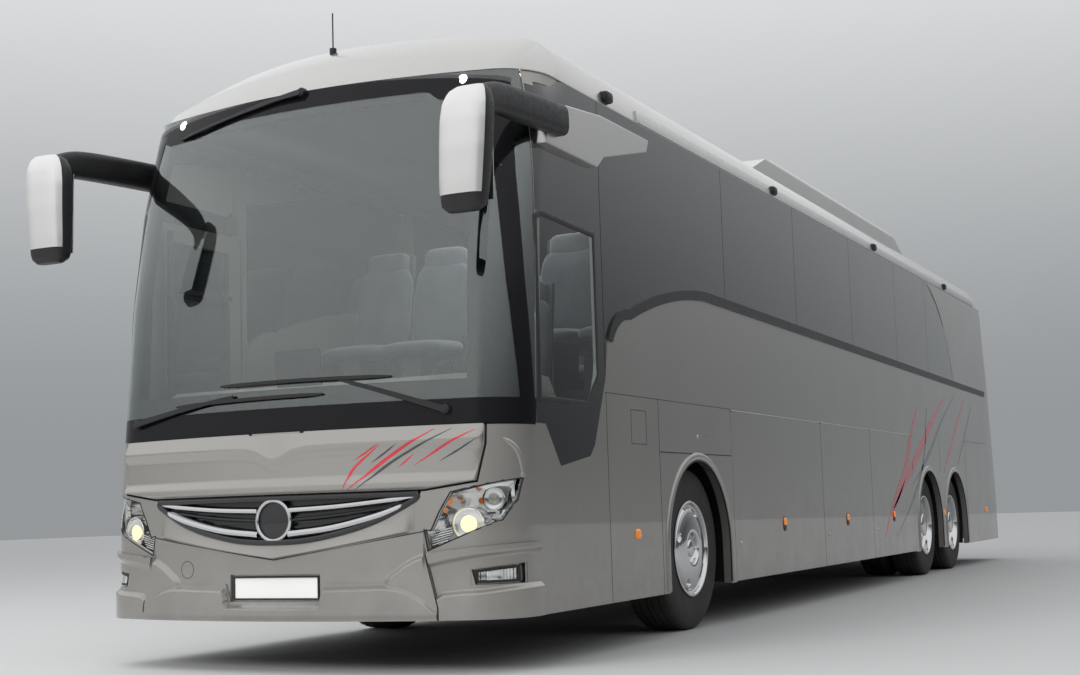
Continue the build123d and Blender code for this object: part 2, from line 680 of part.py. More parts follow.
# Columns: x, height, radius
BARRELS = [(1052, 728, 90), (1170, 850, 60)]
with BuildPart() as headlamps:
    with BuildPart(mode=Mode.PRIVATE) as bowl:
        add(front_block(LAMP, -100, 330))
        add(forms[LAMP_BACK + SEAT_GAP], mode=Mode.INTERSECT)
        add(front_block(LAMP, -100, 320, -BOWL_WALL), mode=Mode.SUBTRACT)
        for x, z, radius in BARRELS:
            with BuildPart(mode=Mode.PRIVATE) as barrel:
                add(rod((x, at(325), z), (x, at(0), z), radius))
                add(forms[DOOR], mode=Mode.INTERSECT)
                add(front_block(LAMP, -100, 330), mode=Mode.INTERSECT)
            add(barrel.part)
    add(bowl.part)
    mirror(about=Plane.YZ)
save(headlamps.part, "headlamps")

with BuildPart() as headlamp_lenses:
    for lamp in (LAMP, flipped(LAMP)):
        add(skin(LAMP_FACE, LAMP_BACK, front_block(lamp, *FRONT)))
    for fog in (FOG_POCKET, flipped(FOG_POCKET)):
        add(skin(GLASS, LAMP_BACK, front_block(fog, *FRONT, -FOG_INSET)))
save(headlamp_lenses.part, "headlamp_lenses")

# Wipers lie on the windscreen, in front view

BLADE_WIDTH = 22.0
ARM_WIDTH = 34.0
PIVOT_HALF = 25.0
# Columns: pivot, grip, the blade's two ends
WIPERS = [
    ((0, 3060), (560, 3010), (60, 2940), (860, 2850)),
    ((957, 1287), (381, 1488), (20, 1430), (860, 1500)),
    ((-964, 1320), (-211, 1410), (-640, 1380), (200, 1440)),
]


with BuildPart() as wipers:
    for pivot, grip, blade_start, blade_end in WIPERS:
        add(skin(-BLADE_FACE, -SEAT_GAP, bar(blade_start, blade_end, BLADE_WIDTH)))
        add(skin(-ARM_FACE, -BLADE_FACE, bar(pivot, grip, ARM_WIDTH)))
        ends = [(pivot[0] + way * PIVOT_HALF, pivot[1]) for way in (-1, 1)]
        add(skin(-ARM_FACE, -SEAT_GAP, bar(*ends, 2 * PIVOT_HALF)))
        middle = ((blade_start[0] + blade_end[0]) / 2, (blade_start[1] + blade_end[1]) / 2)
        add(skin(-ARM_FACE, -SEAT_GAP, bar(grip, middle, BLADE_WIDTH)))
save(wipers.part, "wipers")

# Mirrors: a fairing on the side carries a deep arm, which turns down into a hanging head

FAIRING = [(606, 2697), (669, 2915), (871, 2955), (1370, 3012), (2180, 3035), (2139, 2951), (1406, 2772)]
FAIRING += [(1302, 2696)]
HEAD = [(1176, 2330), (1172, 2640), (1200, 2760), (1262, 2810), (1380, 2812), (1434, 2760), (1430, 2330)]
HEAD += [(1404, 2216), (1214, 2198)]
HEAD_BACK = -170.0
ARM_X_RANGE = (1285.0, 1385.0)
ARM_TOP = [(-250, 2640), (-196, 2806), (-40, 2868)]
ARM_UNDER = [(-20, 2722), (-118, 2684), (-150, 2560)]
ARM_ROOT = [(760, 2918), (760, 2768)]
with BuildPart() as mirrors:
    add(side_block(FAIRING, HALF_WIDTH - 60, HALF_WIDTH + 55))
    with BuildSketch(Plane.XY.offset(2600)):
        with BuildLine():
            points = [(HALF_WIDTH + 8, 2200), (HALF_WIDTH + 60, 900), (HALF_WIDTH + 60, 2200)]
            Polyline(*[(x, at(d)) for x, d in points], close=True)
        make_face()
    extrude(amount=500, mode=Mode.SUBTRACT)
    with BuildSketch(Plane.YZ.offset(ARM_X_RANGE[0])):
        with BuildLine():
            ThreePointArc(*[(at(d), z) for d, z in ARM_TOP])
            Polyline(*[(at(d), z) for d, z in (ARM_TOP[2], *ARM_ROOT, ARM_UNDER[0])])
            ThreePointArc(*[(at(d), z) for d, z in ARM_UNDER])
            Polyline(*[(at(d), z) for d, z in (ARM_UNDER[2], (ARM_TOP[0][0], ARM_UNDER[2][1]), ARM_TOP[0])])
        make_face()
    extrude(amount=ARM_X_RANGE[1] - ARM_X_RANGE[0])
    with BuildSketch(Plane.XZ.offset(-at(HEAD_BACK))):
        with BuildLine():
            Polyline(*HEAD, close=True)
        make_face()
    extrude(amount=MIRROR_AHEAD + HEAD_BACK)
    add(forms[-SEAT_GAP], mode=Mode.SUBTRACT)
    mirror(about=Plane.YZ)
save(mirrors.part, "mirrors")

# Rear end

TAIL = (TAIL_SEAM + SEAT_GAP, LENGTH + 100)
REAR_SPLIT = 640.0
ENGINE_TOP = 1580.0
ENGINE_HALF = 930.0
ENGINE_HINGE_Z = ENGINE_TOP - 6
ENGINE_HINGE_D = LENGTH - (ENGINE_HINGE_Z - 850) * tan(radians(7.9))
REAR_LAMP = [(1040, 700), (1225, 700), (1215, 1420), (1060, 1420)]
REAR_WINDOW = [(1010, 2080), (960, 2900)]
REAR_BORDER = 60.0
ENGINE_SHAPE = rectangle(-ENGINE_HALF, ENGINE_HALF, REAR_SPLIT + FLAP_GAP, ENGINE_TOP - 10)
with BuildPart() as rear_wall:
    add(skin(0, WALL, front_block(rectangle(-1400, 1400, REAR_SPLIT, RAIL), *TAIL)))
    hole = rectangle(-ENGINE_HALF - FLAP_GAP, ENGINE_HALF + FLAP_GAP, REAR_SPLIT - 10, ENGINE_TOP)
    add(front_block(hole, *TAIL), mode=Mode.SUBTRACT)
    for lamp in (REAR_LAMP, flipped(REAR_LAMP)):
        add(front_block(lamp, *TAIL, SEAT_GAP), mode=Mode.SUBTRACT)
    with BuildPart(mode=Mode.PRIVATE) as pocket:
        add(front_block(both(REAR_WINDOW), *TAIL))
        add(forms[GLASS + SEAT_GAP], mode=Mode.SUBTRACT)
    add(pocket.part, mode=Mode.SUBTRACT)
    add(front_block(both(REAR_WINDOW), *TAIL, -REAR_BORDER), mode=Mode.SUBTRACT)
    add(flap_ears(ENGINE_HINGE_D, ENGINE_HINGE_Z, -1))
save(rear_wall.part, "rear_wall")

with BuildPart() as rear_window:
    add(skin(0, GLASS, front_block(both(REAR_WINDOW), *TAIL, -PANE_GAP)))
save(rear_window.part, "rear_window")

with BuildPart() as rear_bumper:
    add(skin(0, WALL, front_block(rectangle(-1400, 1400, SILL - 10, REAR_SPLIT - SEAT_GAP), *TAIL)))
    add(plate_recess(LENGTH - PLATE_RECESS, LENGTH + 100), mode=Mode.SUBTRACT)
save(rear_bumper.part, "rear_bumper")

with BuildPart() as number_plates:
    for back, way in ((PLATE_RECESS - SEAT_GAP, -1), (LENGTH - PLATE_RECESS + SEAT_GAP, 1)):
        with Locations((0, at(back + way * PLATE / 2), PLATE_Z)):
            Box(2 * PLATE_HALF, PLATE, PLATE_HEIGHT)
save(number_plates.part, "number_plates")

with BuildPart() as tail_lamps:
    for lamp in (REAR_LAMP, flipped(REAR_LAMP)):
        add(skin(0, DOOR, front_block(lamp, *TAIL)))
save(tail_lamps.part, "tail_lamps")

LOUVRES = 7
LOUVRE_LOW = 1010.0
LOUVRE_STEP = 52.0
LOUVRE_HALF = 640.0
with BuildPart() as engine_flap:
    add(skin(0, DOOR, front_block(ENGINE_SHAPE, *TAIL)))
    ends = [(x, at(ENGINE_HINGE_D), ENGINE_HINGE_Z) for x in (-BEAD, BEAD)]
    add(rod(*ends, HINGE_RADIUS))
    for x in (-BEAD - 10, BEAD + 10):
        with Locations((x, at(ENGINE_HINGE_D - 10), ENGINE_HINGE_Z)):
            Box(20, 50, 24, mode=Mode.SUBTRACT)
    for number in range(LOUVRES):
        low = LOUVRE_LOW + number * LOUVRE_STEP
        slot = front_block(rectangle(-LOUVRE_HALF, LOUVRE_HALF, low, low + LOUVRE_STEP / 2), *TAIL)
        add(skin(0, FLAP_SKIN, slot), mode=Mode.SUBTRACT)
save(engine_flap.part, "engine_flap")

# Floors, stairs and cab

LINING = WALL + SEAT_GAP
CAB_REAR = 1700.0
STEP = 30.0


def flight(treads, start, end):
    """A flight of steps that climbs from the right side inwards, as plates."""
    with BuildPart() as steps:
        x = -1400.0
        heights = [height for _, height in treads]
        for (edge, height), above in zip(treads, heights[1:] + heights[-1:]):
            add(side_block(rectangle(start, end, height - STEP, height), x, edge + STEP))
            if above > height:
                add(side_block(rectangle(start, end, height - STEP, above), edge, edge + STEP))
            x = edge
    return steps.part


CAB_EDGE = -250.0
FRONT_TREADS = [(-930, 370), (-650, 580), (-370, 790), (CAB_EDGE, CAB_FLOOR)]
WELL_INNER = -160.0
WELL_EDGE = WELL_INNER - STEP - SEAT_GAP
MID_TREADS = [(-1000, 370), (-790, 592), (-580, 814), (-370, 1036), (WELL_EDGE, 1258), (WELL_EDGE, DECK_TOP)]
WELL = (MID_DOOR[0] - 20, MID_DOOR[1] + 20)
DECK_UNDER = DECK_TOP - DECK - SEAT_GAP
CAB_SILL = CAB_FLOOR - 40
BULKHEAD = (430.0, 470.0)
with BuildPart() as floor_deck:
    plates = [
        (CAB_REAR, WELL[0] - SEAT_GAP, -1400, 1400, DECK_TOP - DECK, DECK_TOP),
        (*WELL, WELL_INNER, 1400, DECK_TOP - DECK, DECK_TOP),
        (WELL[1] + SEAT_GAP, LENGTH, -1400, 1400, DECK_TOP - DECK, DECK_TOP),
        (CAB_REAR, CAB_REAR + 40, -1400, 1400, CAB_SILL, DECK_UNDER),
        (BULKHEAD[1] + SEAT_GAP, CAB_REAR - SEAT_GAP, CAB_EDGE + STEP + SEAT_GAP, 1400, CAB_SILL, CAB_FLOOR),
        (*BULKHEAD, -1400, 1400, 400, 1095),
        (CAB_REAR, CAB_REAR + 40, -1400, -495, 340, CAB_SILL - SEAT_GAP),
        (CAB_REAR, CAB_REAR + 40, -495 + SEAT_GAP, CAB_EDGE, 765, CAB_SILL - SEAT_GAP),
        (WELL[0] - 30, WELL[0] - SEAT_GAP, -1400, -60, 340, DECK_UNDER),
        (WELL[1] + SEAT_GAP, WELL[1] + 30, -1400, -60, 340, DECK_UNDER),
    ]
    for d_low, d_high, x_low, x_high, low, high in plates:
        add(side_block(rectangle(d_low, d_high, low, high), x_low, x_high))
    add(flight(FRONT_TREADS, BULKHEAD[1] + SEAT_GAP, CAB_REAR - SEAT_GAP))
    add(flight(MID_TREADS, *WELL))
    add(forms[LINING], mode=Mode.INTERSECT)
save(floor_deck.part, "floor_deck")

# Cab and seats

WHEEL_X = 640.0
COLUMN_END = Vector(WHEEL_X, at(905), 1430)
COLUMN_WAY = Vector(0, 145, 100).normalized()
with BuildPart() as dashboard:
    add(side_block([(475, 1100), (330, 1452), (420, 1500), (760, 1480), (880, 1340), (700, 1100)], -950, 1400))
    add(side_block(rectangle(475, 700, CAB_FLOOR + SEAT_GAP, 1110), -150, 1400))
    add(forms[LINING], mode=Mode.INTERSECT)
    add(rod(COLUMN_END - COLUMN_WAY * 176, COLUMN_END, 36))
save(dashboard.part, "dashboard")

RIM_RADIUS = 225.0
RIM_GRIP = 26.0
SPOKE = 34.0
BOSS_RADIUS = 62.0
with BuildPart() as steering_wheel:
    with BuildSketch(Plane(origin=COLUMN_END + COLUMN_WAY * SEAT_GAP, x_dir=(1, 0, 0), z_dir=COLUMN_WAY)):
        RegularPolygon(RIM_RADIUS, 36)
        RegularPolygon(RIM_RADIUS - RIM_GRIP, 36, mode=Mode.SUBTRACT)
        for angle in (20, 160, 270):
            with Locations(Rotation(0, 0, angle)):
                with Locations((RIM_RADIUS / 2, 0)):
                    Rectangle(RIM_RADIUS - 20, SPOKE)
        RegularPolygon(BOSS_RADIUS, 16)
    extrude(amount=24)
save(steering_wheel.part, "steering_wheel")

SEAT_PITCH = 790.0
FIRST_ROW = 2150.0
BENCH = LENGTH - 1455
ROWS = int((BENCH - FIRST_ROW) / SEAT_PITCH)
SEAT_ACROSS = (250, 1180)
DRIVER_SEAT = (1010, WHEEL_X - 250, WHEEL_X + 250)
SEAT_PROFILE = [(60, 0), (60, 330), (0, 350), (0, 450), (430, 450), (560, 1150), (640, 1130), (520, 380)]


def seat_outline(front, floor):
    """A seat's side view on a floor, from the front of its cushion."""
    return [(front + d, floor + SEAT_GAP + z) for d, z in [*SEAT_PROFILE, (500, 330), (500, 0)]]


MID_WELL = (MID_DOOR[0] - 60, MID_DOOR[1] + 60)
with BuildPart() as seats:
    for row in range(ROWS):
        front = FIRST_ROW + row * SEAT_PITCH
        add(side_block(seat_outline(front, DECK_TOP), *SEAT_ACROSS))
        if front + 660 < MID_WELL[0] or front > MID_WELL[1]:
            add(side_block(seat_outline(front, DECK_TOP), -SEAT_ACROSS[1], -SEAT_ACROSS[0]))
    add(side_block(seat_outline(BENCH, DECK_TOP), -SEAT_ACROSS[1], SEAT_ACROSS[1]))
    add(side_block(seat_outline(DRIVER_SEAT[0], CAB_FLOOR), *DRIVER_SEAT[1:]))
save(seats.part, "seats")

# Frame under the floor, bay floor, wheel housings and engine

BAY = (3500.0, DRIVE_AXLE - 750)
BAY_FLOOR = 330.0
BAY_HALF = 1215.0
MEMBER = 60.0
MEMBERS_BETWEEN = (500, 1100, 2000, LENGTH - 1935, LENGTH - 535)
MEMBERS_ACROSS = (DRIVE_AXLE + 635, TAG_AXLE + 805, LENGTH - 235)
SHEET = 6.0
with BuildPart() as underframe:
    for side in (1, -1):
        low, high = sorted((side * RAIL_INNER, side * RAIL_OUTER))
        add(side_block(rectangle(500, BAY[0] - SEAT_GAP, RAIL_LOW, RAIL_HIGH), low, high))
        add(side_block(rectangle(BAY[1] + SEAT_GAP, LENGTH, RAIL_LOW, RAIL_HIGH), low, high))
    for start in MEMBERS_BETWEEN:
        add(side_block(rectangle(start, start + MEMBER, RAIL_LOW, RAIL_HIGH), -RAIL_OUTER, RAIL_OUTER))
    for start in MEMBERS_ACROSS:
        add(side_block(rectangle(start, start + MEMBER, RAIL_LOW, RAIL_HIGH), -BAY_HALF, BAY_HALF))
    add(side_block(rectangle(*BAY, BAY_FLOOR - 40, BAY_FLOOR), -BAY_HALF, BAY_HALF))
    for start in (BAY[0], BAY[1] - 30):
        add(side_block(rectangle(start, start + 30, BAY_FLOOR + SEAT_GAP, DECK_UNDER), -BAY_HALF, BAY_HALF))
    for side, bay_posts in ((1, LUGGAGE_LEFT[1:]), (-1, LUGGAGE_RIGHT[1:])):
        for middle, _ in bay_posts:
            low, high = sorted((side * 1140, side * BAY_HALF))
            add(side_block(rectangle(middle - 35, middle + 35, BAY_FLOOR + SEAT_GAP, DECK_UNDER), low, high))
    add(forms[LINING], mode=Mode.INTERSECT)
save(underframe.part, "underframe")

MUD_FLAP = (265.0, 560.0)
MUD_FLAP_ACROSS = (900.0, 1205.0)
# Columns: axle, half length, inner side, roof height
HOUSINGS = [(FRONT_AXLE, 655, 500, 1165), (DRIVE_AXLE, 600, 540, 1115), (TAG_AXLE, 600, 540, 1115)]


def housing_outline(axle, half, top, step):
    """A wheel housing's side view, with bevelled upper corners, grown by a step."""
    low, high = axle - half - step, axle + half + step
    return [(low, 400), (low, 900), (low + 250, top + step), (high - 250, top + step), (high, 900), (high, 400)]


with BuildPart() as wheel_housings:
    for axle, half, inboard, top in HOUSINGS:
        with BuildPart(mode=Mode.PRIVATE) as housing:
            add(side_block(housing_outline(axle, half, top, SHEET), inboard, 1400))
            add(side_block(housing_outline(axle, half, top, 0), inboard + SHEET, 1400), mode=Mode.SUBTRACT)
            low_part = rectangle(axle - half, axle + half, 390, RAIL_HIGH)
            add(side_block(low_part, inboard, inboard + SHEET), mode=Mode.SUBTRACT)
        add(housing.part)
    for axle, half, _, _ in (HOUSINGS[0], HOUSINGS[-1]):
        back = axle + half - SEAT_GAP
        add(side_block(rectangle(back - SHEET, back, *MUD_FLAP), *MUD_FLAP_ACROSS))
    add(forms[LINING], mode=Mode.INTERSECT)
    mirror(about=Plane.YZ)
save(wheel_housings.part, "wheel_housings")

ENGINE = (LENGTH - 1855, LENGTH - 555, 480, 1180)
ENGINE_BLOCK_HALF = 420.0
with BuildPart() as engine_block:
    add(side_block(rectangle(*ENGINE), -ENGINE_BLOCK_HALF, ENGINE_BLOCK_HALF))
save(engine_block.part, "engine_block")

# Axles, knuckles and wheels


def along_x(distance, x_low, x_high, radius, height=HUB_HEIGHT):
    """A round bar across the coach."""
    return rod((x_low, at(distance), height), (x_high, at(distance), height), radius)


BEAM = (430.0, 520.0)
BELLOWS_RADIUS = 105.0
BELLOWS_X = (RAIL_INNER + RAIL_OUTER) / 2
HUB_END = 1150.0
KINGPIN_BOSS = 45.0
TUBE_RADIUS = 75.0
DIFFERENTIAL = (110.0, 190.0)
SPRING_ARM = (330.0, 450.0, 500.0)


def bellows(distance, foot):
    """An air spring between an axle and the rail above it."""
    return rod((BELLOWS_X, at(distance), foot), (BELLOWS_X, at(distance), RAIL_LOW - SEAT_GAP), BELLOWS_RADIUS)


with BuildPart() as front_axle:
    add(side_block(rectangle(FRONT_AXLE - 45, FRONT_AXLE + 45, *BEAM), -KINGPIN_X, KINGPIN_X))
    for side in (1, -1):
        x = side * KINGPIN_X
        add(rod((x, at(FRONT_AXLE), 420), (x, at(FRONT_AXLE), 600), KINGPIN_BOSS))
        hole = rod((x, at(FRONT_AXLE), 410), (x, at(FRONT_AXLE), 610), KINGPIN_RADIUS + RUNNING)
        add(hole, mode=Mode.SUBTRACT)
    with BuildPart(mode=Mode.PRIVATE) as spring:
        add(bellows(FRONT_AXLE, BEAM[1] - 1))
    add(spring.part)
    add(mirror(spring.part, about=Plane.YZ))
save(front_axle.part, "front_axle")

for side, name in ((1, "left"), (-1, "right")):
    with BuildPart() as knuckle:
        for low, high in ((606, 640), (380, 414)):
            add(rod((KINGPIN_X, at(FRONT_AXLE), low), (KINGPIN_X, at(FRONT_AXLE), high), 40))
            with Locations((KINGPIN_X + 50, at(FRONT_AXLE), (low + high) / 2)):
                Box(100, 80, high - low)
        with Locations((KINGPIN_X + 90, at(FRONT_AXLE), HUB_HEIGHT - 2)):
            Box(30, 100, 260)
        add(rod((KINGPIN_X, at(FRONT_AXLE), 400), (KINGPIN_X, at(FRONT_AXLE), 620), KINGPIN_RADIUS))
        add(along_x(FRONT_AXLE, KINGPIN_X + 80, HUB_END, SPINDLE_RADIUS))
        if side < 0:
            mirror(about=Plane.YZ, mode=Mode.REPLACE)
    save(knuckle.part, f"knuckle_{name}")

# Columns: axle, name, half length of the thick tube, places of the air springs
REAR_AXLES = [(DRIVE_AXLE, "drive_axle", 540, (-240, 240)), (TAG_AXLE, "tag_axle", 860, (240,))]
for axle, name, reach, springs in REAR_AXLES:
    with BuildPart() as bridge:
        add(along_x(axle, -reach, reach, TUBE_RADIUS))
        add(along_x(axle, -HUB_END, HUB_END, SPINDLE_RADIUS))
        if axle == DRIVE_AXLE:
            add(along_x(axle, -DIFFERENTIAL[0], DIFFERENTIAL[0], DIFFERENTIAL[1]))
        for side in (1, -1):
            low, high = sorted((side * (BELLOWS_X - 60), side * (BELLOWS_X + 55)))
            arm_half, arm_low, arm_high = SPRING_ARM
            add(side_block(rectangle(axle - arm_half, axle + arm_half, arm_low, arm_high), low, high))
            for step in springs:
                with BuildPart(mode=Mode.PRIVATE) as spring:
                    add(bellows(axle + step, arm_high - 1))
                add(spring.part if side > 0 else mirror(spring.part, about=Plane.YZ))
    save(bridge.part, name)

TYRE_HALF = 140.0
BORE = 285.0
BORE_SIDES = 24
FLANGE_RADIUS = 302.0
FLANGE = 6.0
DISH = 266.0
DISH_SIDES = 40
DISH_FLOOR = 40.0
DISC = 20.0


def wheel_plane(x, distance, side):
    """The plane of a wheel at its middle, looking outwards."""
    return Plane(origin=(x, at(distance), HUB_HEIGHT), x_dir=(0, side, 0), z_dir=(side, 0, 0))


def tyre_ring(x, distance, side):
    """One tyre. Its bore is a many-sided hole that the rim's barrel fills."""
    plane = wheel_plane(x, distance, side)
    with BuildPart() as ring:
        with BuildSketch(plane.offset(-TYRE_HALF)):
            Circle(TYRE_RADIUS)
            RegularPolygon(BORE, BORE_SIDES, mode=Mode.SUBTRACT)
        extrude(amount=2 * TYRE_HALF)
    return ring.part


def rim_disc(x, distance, side, dished):
    """One rim: a barrel in the tyre's bore, its disc and, on the outer wheel, a flange."""
    plane = wheel_plane(x, distance, side)
    outer = TYRE_HALF if dished else DISH_FLOOR
    with BuildPart() as disc:
        with BuildSketch(plane.offset(DISH_FLOOR - DISC)):
            RegularPolygon(BORE - SEAT_GAP, BORE_SIDES)
        extrude(amount=outer - DISH_FLOOR + DISC)
        if dished:
            with BuildSketch(plane.offset(TYRE_HALF + SEAT_GAP)):
                Circle(FLANGE_RADIUS)
            extrude(amount=FLANGE)
            with BuildSketch(plane.offset(TYRE_HALF - 1)):
                RegularPolygon(BORE - 2, BORE_SIDES)
            extrude(amount=2)
            with BuildSketch(plane.offset(DISH_FLOOR)):
                RegularPolygon(DISH, DISH_SIDES)
            extrude(amount=TYRE_HALF, mode=Mode.SUBTRACT)
        with BuildSketch(plane.offset(-TYRE_HALF)):
            Circle(SPINDLE_RADIUS + RUNNING)
        extrude(amount=2 * TYRE_HALF, mode=Mode.SUBTRACT)
    return disc.part


AXLES = ((FRONT_AXLE, "front", 1), (DRIVE_AXLE, "drive", 2), (TAG_AXLE, "tag", 1))
for axle, axle_name, count in AXLES:
    for side, side_name in ((1, "left"), (-1, "right")):
        middles = [side * (TRACK_OUTER - TYRE_WIDTH / 2 - step * TWIN_STEP) for step in range(count)]
        with BuildPart() as tyre:
            for x in middles:
                add(tyre_ring(x, axle, side))
        save(tyre.part, f"tyre_{axle_name}_{side_name}")
        with BuildPart() as rim:
            for number, x in enumerate(middles):
                add(rim_disc(x, axle, side if number == 0 else -side, number == 0))
        save(rim.part, f"rim_{axle_name}_{side_name}")
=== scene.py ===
"""A three-axle touring coach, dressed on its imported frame.

It is in metres, with +X to the coach's left, -Y to its front and +Z up.

A distance runs rearwards from the front of the bumper, and a height upwards from the road.
"""

import math

import bmesh
import bpy
import numpy as np
from mathutils import Matrix, Vector


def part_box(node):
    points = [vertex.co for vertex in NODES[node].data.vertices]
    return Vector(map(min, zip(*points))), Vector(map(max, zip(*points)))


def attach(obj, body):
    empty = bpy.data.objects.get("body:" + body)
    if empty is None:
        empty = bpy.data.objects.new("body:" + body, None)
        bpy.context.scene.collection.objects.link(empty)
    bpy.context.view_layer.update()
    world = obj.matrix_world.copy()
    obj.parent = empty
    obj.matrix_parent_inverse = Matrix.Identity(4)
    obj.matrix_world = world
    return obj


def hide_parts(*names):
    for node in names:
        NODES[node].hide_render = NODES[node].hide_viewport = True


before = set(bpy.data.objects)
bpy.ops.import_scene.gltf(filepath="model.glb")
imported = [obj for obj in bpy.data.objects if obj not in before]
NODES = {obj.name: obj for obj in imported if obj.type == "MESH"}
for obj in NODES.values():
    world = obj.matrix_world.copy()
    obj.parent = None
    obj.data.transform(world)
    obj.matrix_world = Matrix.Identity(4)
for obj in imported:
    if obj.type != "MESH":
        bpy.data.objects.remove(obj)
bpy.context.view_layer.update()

# The view: a camera held at hip height, off the coach's front left corner.
# The lens is given for a 36 mm wide frame of 1080 by 675 pixels.
CAMERA_PLACE = (4.7314, -13.3734, 0.7859)
CAMERA_TURN, CAMERA_RISE, CAMERA_ROLL = 25.88, 6.357, -1.723
CAMERA_LENS = 51.55

camera = bpy.data.objects.new("camera", bpy.data.cameras.new("camera"))
camera.data.lens = CAMERA_LENS
camera.data.clip_end = 200
camera.matrix_world = (
    Matrix.Translation(CAMERA_PLACE)
    @ Matrix.Rotation(math.radians(CAMERA_TURN), 4, "Z")
    @ Matrix.Rotation(math.radians(90 + CAMERA_RISE), 4, "X")
    @ Matrix.Rotation(math.radians(CAMERA_ROLL), 4, "Z")
)
bpy.context.collection.objects.link(camera)
bpy.context.scene.camera = camera
bpy.context.scene.view_settings.view_transform = "Standard"


# Light: an even pale sky with large soft boxes above and in front, and two ceiling lamps in the cabin.
# The sky deepens towards the horizon, most on the coach's left and least in front of it.


def node(tree, kind, inputs=None, **settings):
    """One shader or geometry node, with its settings, and its sockets set or linked."""
    made = tree.nodes.new(kind)
    for key, value in settings.items():
        setattr(made, key, value)
    for socket, value in (inputs or {}).items():
        if isinstance(value, bpy.types.NodeSocket):
            tree.links.new(value, made.inputs[socket])
        else:
            made.inputs[socket].default_value = value
    return made


SKY_HIGH, SKY_LOW = (0.90, 0.915, 0.93, 1), (0.30, 0.315, 0.325, 1)
SKY_FRONT, SKY_LEFT = (0.60, 0.61, 0.61, 1), (0.085, 0.09, 0.094, 1)
# Where one tone turns into the next: a direction's parts to the front, to the left and upwards
SKY_AHEAD, SKY_BESIDE, SKY_RISE = (-0.2, -0.85), (0.15, 0.5), (0.03, 0.50)
# A Mix node's colour sockets by number, because its sockets for other values have the same names
MIX_FIRST, MIX_SECOND, MIX_RESULT = 6, 7, 2

world = bpy.data.worlds.new("pale sky")
bpy.context.scene.world = world
world.use_nodes = True
sky = world.node_tree
sky.nodes.clear()
way = node(sky, "ShaderNodeTexCoord")
parts = node(sky, "ShaderNodeSeparateXYZ", {0: way.outputs["Generated"]})


def sky_mix(value, low, high, first, second):
    """One sky colour turning into another between two values of a direction's part."""
    sockets = {"Value": value, "From Min": low, "From Max": high}
    share = node(sky, "ShaderNodeMapRange", sockets, interpolation_type="SMOOTHSTEP").outputs[0]
    sockets = {"Factor": share, MIX_FIRST: first, MIX_SECOND: second}
    return node(sky, "ShaderNodeMix", sockets, data_type="RGBA").outputs[MIX_RESULT]


ahead = sky_mix(parts.outputs["Y"], *SKY_AHEAD, SKY_LOW, SKY_FRONT)
beside = sky_mix(parts.outputs["X"], *SKY_BESIDE, ahead, SKY_LEFT)
tone = sky_mix(parts.outputs["Z"], *SKY_RISE, beside, SKY_HIGH)
lit = node(sky, "ShaderNodeBackground", {"Color": tone})
node(sky, "ShaderNodeOutputWorld", {"Surface": lit.outputs[0]})


def soft_box(name, place, target, size, power):
    """A large soft lamp that shines from a place to a target."""
    lamp = bpy.data.objects.new(name, bpy.data.lights.new(name, "AREA"))
    lamp.data.shape = "RECTANGLE"
    lamp.data.size, lamp.data.size_y = size
    lamp.data.energy = power
    lamp.location = place
    lamp.rotation_euler = (Vector(target) - Vector(place)).to_track_quat("-Z", "Y").to_euler()
    lamp.visible_camera = lamp.visible_glossy = lamp.visible_transmission = False
    bpy.context.collection.objects.link(lamp)


# Columns: name, place, target, width and length, watts
LAMPS = [
    ("sky panel", (-3, -9, 12), (0, -2, 1.5), (12, 10), 950),
    ("front panel", (-4, -19, 8), (0, -6, 1.6), (7, 5), 1300),
    ("cab lamp", (0, -5.7, 3.02), (0, -6.0, 1.3), (1.4, 0.5), 20),
    ("saloon lamp", (0, -3.4, 3.02), (0, -3.4, 1.3), (1.2, 2.4), 30),
]
for lamp in LAMPS:
    soft_box(*lamp)


# Chassis: frame rails, axles, knuckles and door arms in black coated steel, welded and bolted, with the
# road's dust on them, and a cast engine with patches of oil. They carry the body, and show in the wheel
# arches, in the doors and from below.


def opened(made):
    """A material's tree and its shader node."""
    return made.node_tree, made.node_tree.nodes["Principled BSDF"]


def own_coordinates(tree):
    """Places on the piece itself, in metres."""
    return node(tree, "ShaderNodeTexCoord").outputs["Object"]


def noise(tree, scale, detail=3.0, roughness=0.5):
    """Noise on the piece's own coordinates: a scale of 100 has lumps of about 10 mm."""
    sockets = {"Vector": own_coordinates(tree), "Scale": scale, "Detail": detail, "Roughness": roughness}
    return node(tree, "ShaderNodeTexNoise", sockets).outputs["Fac"]


def spread(tree, value, low, high, from_low=0.3, from_high=0.7):
    """A value mapped from one range to another."""
    sockets = {"Value": value, "From Min": from_low, "From Max": from_high, "To Min": low, "To Max": high}
    return node(tree, "ShaderNodeMapRange", sockets).outputs[0]


def reckon(tree, operation, *values):
    """One Math node on some values."""
    return node(tree, "ShaderNodeMath", dict(enumerate(values)), operation=operation).outputs[0]


def mixed(tree, factor, first, second):
    """One colour mixed with another by a factor."""
    first, second = (c if isinstance(c, bpy.types.NodeSocket) else (*c, 1) for c in (first, second))
    sockets = {"Factor": factor, MIX_FIRST: first, MIX_SECOND: second}
    return node(tree, "ShaderNodeMix", sockets, data_type="RGBA").outputs[MIX_RESULT]


def bumped(tree, shader, height, strength, distance):
    """Gives a shader a bump from a height."""
    made = node(tree, "ShaderNodeBump", {"Height": height, "Strength": strength, "Distance": distance})
    tree.links.new(made.outputs[0], shader.inputs["Normal"])


